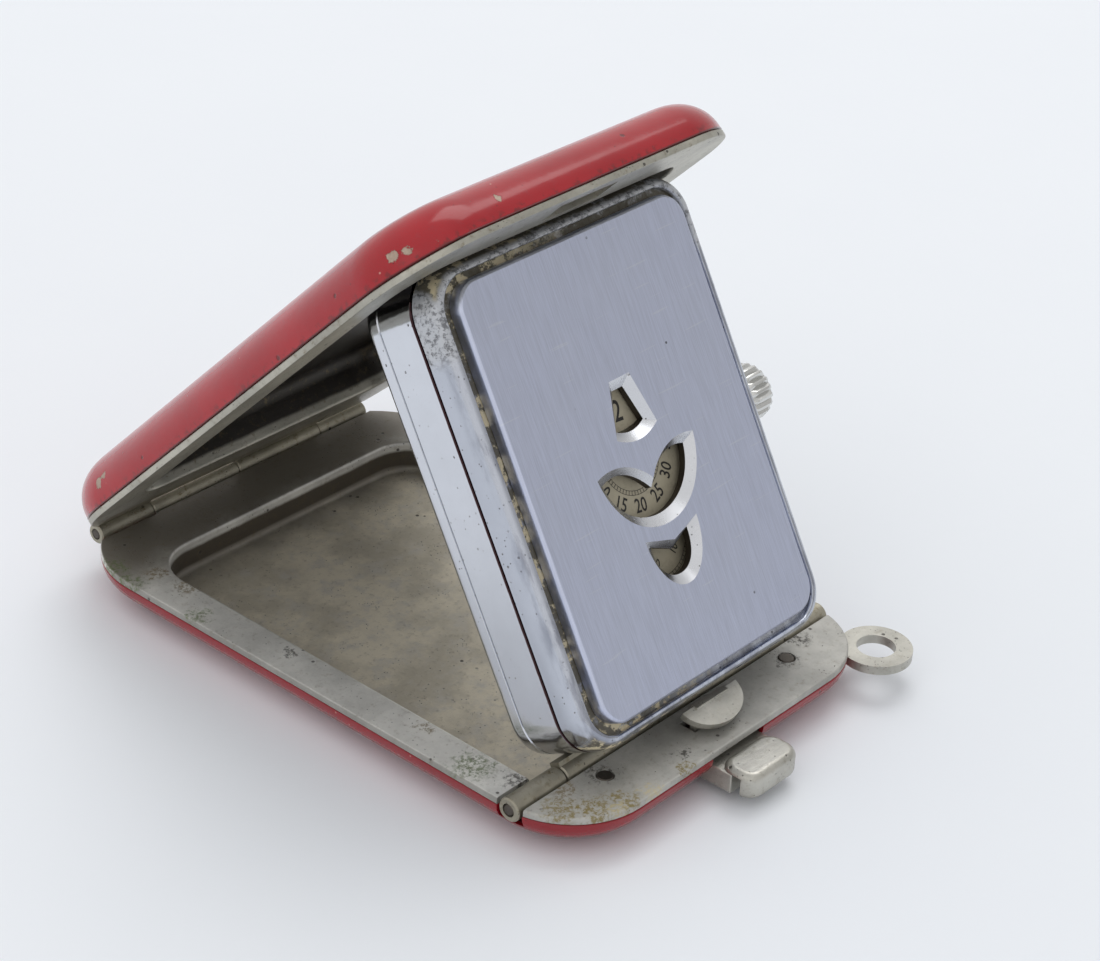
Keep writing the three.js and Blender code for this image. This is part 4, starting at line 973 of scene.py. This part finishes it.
tube = Solid()
band_profile = [
    (0.1, -0.4),
    (0, -0.32),
    (0, 2.88),
    (0.08, 2.97),
    (0.28, 3),
    (0.28, 3.9),
    (0.9, 3.9),
    (0.9, -0.4),
]
tube.skin([tube.ring(body_outline(inset), z) for inset, z in band_profile], closed=True)
band = cut(tube.object(), rod("X", (CROWN_Y, CROWN_Z), 0.9, (11.5, 14.4)))
publish(band, "band_watch", WATCH, CHROME_BODY, "watch", "chrome", "case_band")


def bezel():
    """Raised ridge round a groove, with the shelf that the faceplate sits on."""

    def groove(grow):
        return rounded_rect(GROOVE_X, (2.1, 34.35), 2.4, -grow, FINE)

    solid = Solid()
    rings = [body_outline(inset) for inset in (0.95, 0.33, 0.33, 0.08, 0)]
    heights = [3.95, 3.95, 3.08, 3.1, 3.2]
    for inset, z in rounding((0.02, 3.35), (0.86, 5.2), 12):
        rings.append(body_outline(inset))
        heights.append(z)
    for grow, z in ((0.14, 5.19), (0.04, 5.1), (0, 4.95), (0, GROOVE_Z)):
        rings.append(groove(grow))
        heights.append(z)
    for z in (GROOVE_Z, 3.95):
        rings.append(rounded_rect((-10.55, 10.55), (3.5, 32.95), 1.5, 0, FINE))
        heights.append(z)
    solid.skin([solid.ring(points, z) for points, z in zip(rings, heights)], closed=True)
    hook_room = block((-3.1, 3.1), (0.5, 1.6), (3.4, 6))
    return cut(solid.object(), hook_room)


publish(bezel(), "bezel_watch", WATCH, CHROME_BEZEL, "watch", "chrome", "bezel")


def bezier(points):
    """Points along a quadratic or cubic curve, without the last one."""
    result = []
    for i in range(FINE):
        t = i / FINE
        level = [Vector(p) for p in points]
        while len(level) > 1:
            level = [a.lerp(b, t) for a, b in zip(level, level[1:])]
        result.append(tuple(level[0]))
    return result


def hour_window(grow):
    top, top_half = 23 + grow, 0.55 + grow * 0.65
    low, low_half = 20.35 - grow * 0.6, 1.4 + grow * 0.9
    bow = bezier([(-low_half, low), (0, low - 0.75 - grow * 0.6), (low_half, low)])
    return [(-top_half, top), *bow, (low_half, low), (top_half, top)]


def minutes_window(grow):
    tip_x, tip_y = 4.25 + grow, 17.55 + grow * 0.75
    notch, low = 15.85 + grow * 0.9, 14 - grow
    drop = tip_y - low
    right = bezier([(0, notch), (0.7, notch + 0.9), (tip_x * 0.5, tip_y + 0.75), (tip_x, tip_y)])
    right += bezier([(tip_x, tip_y), (tip_x * 0.92, tip_y - drop * 0.62), (tip_x * 0.5, low), (0, low)])
    return right + [(0, low)] + [(-x, y) for x, y in right[:0:-1]]


def seconds_window(grow):
    tip_x, tip_y = 1.95 + grow, 12.25 + grow * 0.8
    notch, low = 11.4 + grow * 0.85, 9.6 - grow
    side = bezier([(tip_x, tip_y), (tip_x, tip_y - 1.9 - grow * 0.4), (tip_x * 0.55, low), (0, low)])
    return [(0, notch), *side, (0, low), *[(-x, y) for x, y in side[::-1]]]


def faceplate():
    solid = Solid()
    plate_low = 4.75
    edge_profile = [(0.05, plate_low), (0, plate_low + 0.05)]
    edge_profile += [(0, FACE_Z - 0.25), (0.08, FACE_Z - 0.1), (0.22, FACE_Z)]
    sides = [solid.ring(rounded_rect(FACE_X, FACE_Y, FACE_R, inset, FINE), z) for inset, z in edge_profile]
    solid.skin(sides)
    tops, lows, bevels, walls = [], [], [], []
    for window in (hour_window, minutes_window, seconds_window):
        slope = [(0.75, FACE_Z), (0.71, FACE_Z - 0.03), (0.06, FACE_Z - 0.5), (0, FACE_Z - 0.54)]
        rings = [solid.ring(window(grow), z) for grow, z in slope]
        rings.append(solid.ring(window(0), plate_low))
        before = set(solid.bm.faces)
        solid.skin(rings[:-1])
        bevels += set(solid.bm.faces) - before
        before = set(solid.bm.faces)
        solid.skin(rings[-2:])
        walls += set(solid.bm.faces) - before
        tops.append(rings[0])
        lows.append(rings[-1])
    solid.fill(sides[-1], *tops)
    solid.fill(sides[0], *lows)
    for faces, index in ((bevels, 1), (walls, 2)):
        for face in faces:
            face.material_index = index
    made = solid.object()
    for material in (STEEL_FACE, STEEL_BEVEL, STEEL_WALL_SHADED):
        made.data.materials.append(material)
    return made


publish(faceplate(), "face_watch", WATCH, STEEL_FACE, "watch", "face_steel", "faceplate")

# ---- crown ----


def crown():
    """Fluted knob with a domed end, made along Z and laid along X."""
    flutes, fine = 20, 6

    def outline(inset, depth):
        points = []
        for i in range(flutes * fine):
            a = 2 * math.pi * i / (flutes * fine)
            r = 2.15 - inset - depth * (0.5 - 0.5 * math.cos(a * flutes)) ** 2
            points.append((r * math.cos(a), r * math.sin(a)))
        return points

    x0, x1 = 13.85, 16.4
    stations = [(0.3, 0.0, x0), (0.06, 0.2, x0 + 0.25), (0, 0.26, x0 + 0.5), (0, 0.26, x1 - 0.85)]
    stations += [(0.08, 0.2, x1 - 0.55), (0.25, 0.08, x1 - 0.4), (0.45, 0.0, x1 - 0.3), (0.6, 0, x1 - 0.12)]
    stations += [(1.2, 0, x1)]
    solid = Solid()
    rings = [solid.ring(outline(inset, depth), x) for inset, depth, x in stations]
    solid.skin(rings)
    solid.cap(rings[0])
    solid.cap(rings[-1])
    made = solid.object()
    cut(made, rod("Z", (0, 0), 0.38, (x0 - 1, x0 + 1.1), steps=24))
    made.data.transform(Matrix.Rotation(math.radians(90), 4, "Y"))
    made.data.transform(Matrix.Translation((0, CROWN_Y, CROWN_Z)))
    return made


publish(crown(), "knob_crown", WATCH, CHROME_SMALL, "crown", "chrome", "crown")

# ---- printing on the discs ----

NARROW = 0.82
RING_STEPS = 96
RING_WIDTH = 0.035
INK_LIFT = 0.015


def printed(name, body, disc, labels, radius, size, turn, ticks):
    """Numbers round a disc, upright below its centre; ticks is (count, inner, outer, width)."""
    box = local_box(disc, WATCH)
    centre_y, z = sum(box[1]) / 2, box[2][1] + INK_LIFT
    bm = bmesh.new()
    for index, label in enumerate(labels):
        curve = bpy.data.curves.new("label", "FONT")
        curve.body = label
        curve.size = size
        curve.offset = size * 0.012
        curve.align_x = "CENTER"
        curve.align_y = "CENTER"
        curve.resolution_u = 3
        text = bpy.data.objects.new("label", curve)
        bpy.context.scene.collection.objects.link(text)
        flat = bpy.data.meshes.new_from_object(text.evaluated_get(bpy.context.evaluated_depsgraph_get()))
        angle = math.radians(turn) + 2 * math.pi * index / len(labels)
        place = Matrix.Rotation(angle, 4, "Z") @ Matrix.Translation((0, -radius, 0))
        place = place @ Matrix.Scale(NARROW, 4, (1, 0, 0))
        flat.transform(Matrix.Translation((0, centre_y, z)) @ place)
        bm.from_mesh(flat)
        bpy.data.objects.remove(text)
        bpy.data.curves.remove(curve)
        bpy.data.meshes.remove(flat)
    count, inner, outer, width = ticks
    for index in range(count):
        turned = Matrix.Rotation(math.radians(turn) + 2 * math.pi * index / count, 4, "Z")
        corners = [(-width, -inner), (-width, -outer), (width, -outer), (width, -inner)]
        spots = [turned @ Vector((x, y, 0)) + Vector((0, centre_y, z)) for x, y in corners]
        bm.faces.new([bm.verts.new(spot) for spot in spots])
    for edge_r in (inner, outer):
        for index in range(RING_STEPS):
            a, b = 2 * math.pi * index / RING_STEPS, 2 * math.pi * (index + 1) / RING_STEPS
            corners = ((edge_r, a), (edge_r + RING_WIDTH, a), (edge_r + RING_WIDTH, b), (edge_r, b))
            spots = [(r * math.cos(t), r * math.sin(t) + centre_y, z) for r, t in corners]
            bm.faces.new([bm.verts.new(spot) for spot in spots])
    mesh = bpy.data.meshes.new(name)
    bm.to_mesh(mesh)
    bm.free()
    made = bpy.data.objects.new(name, mesh)
    bpy.context.scene.collection.objects.link(made)
    return publish(made, name, WATCH, INK, body, "disc_metal")


hours = [str(i or 12) for i in range(12)]
printed("numerals_hour", "hour", "hour_disc", hours, 4.85, 2.1, turn=-5, ticks=(12, 3.05, 3.3, 0.03))
minutes = [str(5 * i or 60) for i in range(12)]
printed("numerals_minute", "minute", "minute_disc", minutes, 3.6, 1.4, turn=-128, ticks=(60, 2.5, 2.8, 0.025))
seconds = [str(10 * i or 60) for i in range(6)]
second_ticks = (60, 3.0, 3.25, 0.02)
printed("numerals_second", "seconds", "seconds_disc", seconds, 2.1, 0.95, turn=-20, ticks=second_ticks)

# ---- the works and other CAD nodes that keep their own shape ----

KEPT = {
    BRASS_WORKS: (
        "main_plate",
        "train_bridge",
        "balance_cock",
        "mainspring_barrel",
        "third_wheel",
        "balance_wheel",
    ),
    STEEL_WORKS: ("escape_wheel", "pallet_fork", "winding_stem", "setting_lever", "spring_stop"),
    BLUED_WORKS: ("hairspring", "bridge_screw_1", "bridge_screw_2", "bridge_screw_3"),
    DISC_FACE: ("hour_disc", "minute_disc", "seconds_disc"),
    NICKEL_BASE: ("plate_bearer_left", "plate_bearer_right"),
    NICKEL_COVER: ("catch_plate",),
    CHROME_SMALL: ("crown_tube",),
}
for material, names in KEPT.items():
    for name in names:
        mesh = frame["nodes"][name].data
        mesh.materials.clear()
        mesh.materials.append(material)

# ---- floor, light and camera ----

floor_look = Look("floor")
dust = floor_look.noise(0.05, 4)
floor_look.finish(
    Base_Color=floor_look.mix(dust, (0.85, 0.88, 0.925), (0.87, 0.90, 0.94)),
    Roughness=0.8,
    Normal=floor_look.bump(floor_look.noise(0.6, 3), 0.02),
)
bpy.ops.mesh.primitive_plane_add(size=8, location=(0, 0, 0))
floor = bpy.context.object
floor.name = "floor"
floor.data.materials.append(floor_look.material)

# the sky is dimmer towards one side, which the polished ridges show
DIM_SIDE = (0.66, -0.72, 0.22)
world = bpy.data.worlds.new("studio")
bpy.context.scene.world = world
world.use_nodes = True
sky = world.node_tree
heading = sky.nodes.new("ShaderNodeTexCoord").outputs["Generated"]
facing = sky.nodes.new("ShaderNodeVectorMath")
facing.operation = "DOT_PRODUCT"
sky.links.new(heading, facing.inputs[0])
facing.inputs[1].default_value = DIM_SIDE
shade = sky.nodes.new("ShaderNodeMapRange")
sky.links.new(facing.outputs["Value"], shade.inputs["Value"])
shade.inputs["From Min"].default_value = 0.3
shade.inputs["From Max"].default_value = 1.0
shade.inputs["To Min"].default_value = 0.87
shade.inputs["To Max"].default_value = 0.52
background = sky.nodes["Background"]
background.inputs["Color"].default_value = (1.0, 1.0, 1.0, 1.0)
sky.links.new(shade.outputs[0], background.inputs["Strength"])


def area_light(name, place, size, power):
    data = bpy.data.lights.new(name, "AREA")
    data.shape = "RECTANGLE"
    data.size, data.size_y = size
    data.energy = power
    light = bpy.data.objects.new(name, data)
    light.location = place
    light.rotation_euler = (Vector((0, 0, 0.015)) - Vector(place)).to_track_quat("-Z", "Y").to_euler()
    bpy.context.scene.collection.objects.link(light)


area_light("key", (0.55, 0.3, 1.1), (0.8, 0.7), 3.4)
area_light("side", (-0.55, -0.1, 0.35), (0.3, 0.4), 0.1)

AIM = Vector((0.0129, 0.0041, 0.00613))
DISTANCE = 0.215
AZIMUTH, ELEVATION, ROLL = (math.radians(a) for a in (310.14, 30.41, 3.0))
flat_reach = math.cos(ELEVATION)
back = Vector((math.sin(AZIMUTH) * flat_reach, -math.cos(AZIMUTH) * flat_reach, math.sin(ELEVATION)))
right = Vector((math.cos(AZIMUTH), math.sin(AZIMUTH), 0))
up = back.cross(right)
rolled_right = right * math.cos(ROLL) + up * math.sin(ROLL)
rolled_up = up * math.cos(ROLL) - right * math.sin(ROLL)
lens = bpy.data.cameras.new("camera")
lens.lens = 91.3
lens.sensor_width = 36
lens.clip_start = 0.01
camera = bpy.data.objects.new("camera", lens)
camera.matrix_world = Matrix((rolled_right, rolled_up, back)).transposed().to_4x4()
camera.location = AIM + back * DISTANCE
bpy.context.scene.collection.objects.link(camera)
bpy.context.scene.camera = camera
bpy.context.scene.view_settings.view_transform = "Standard"
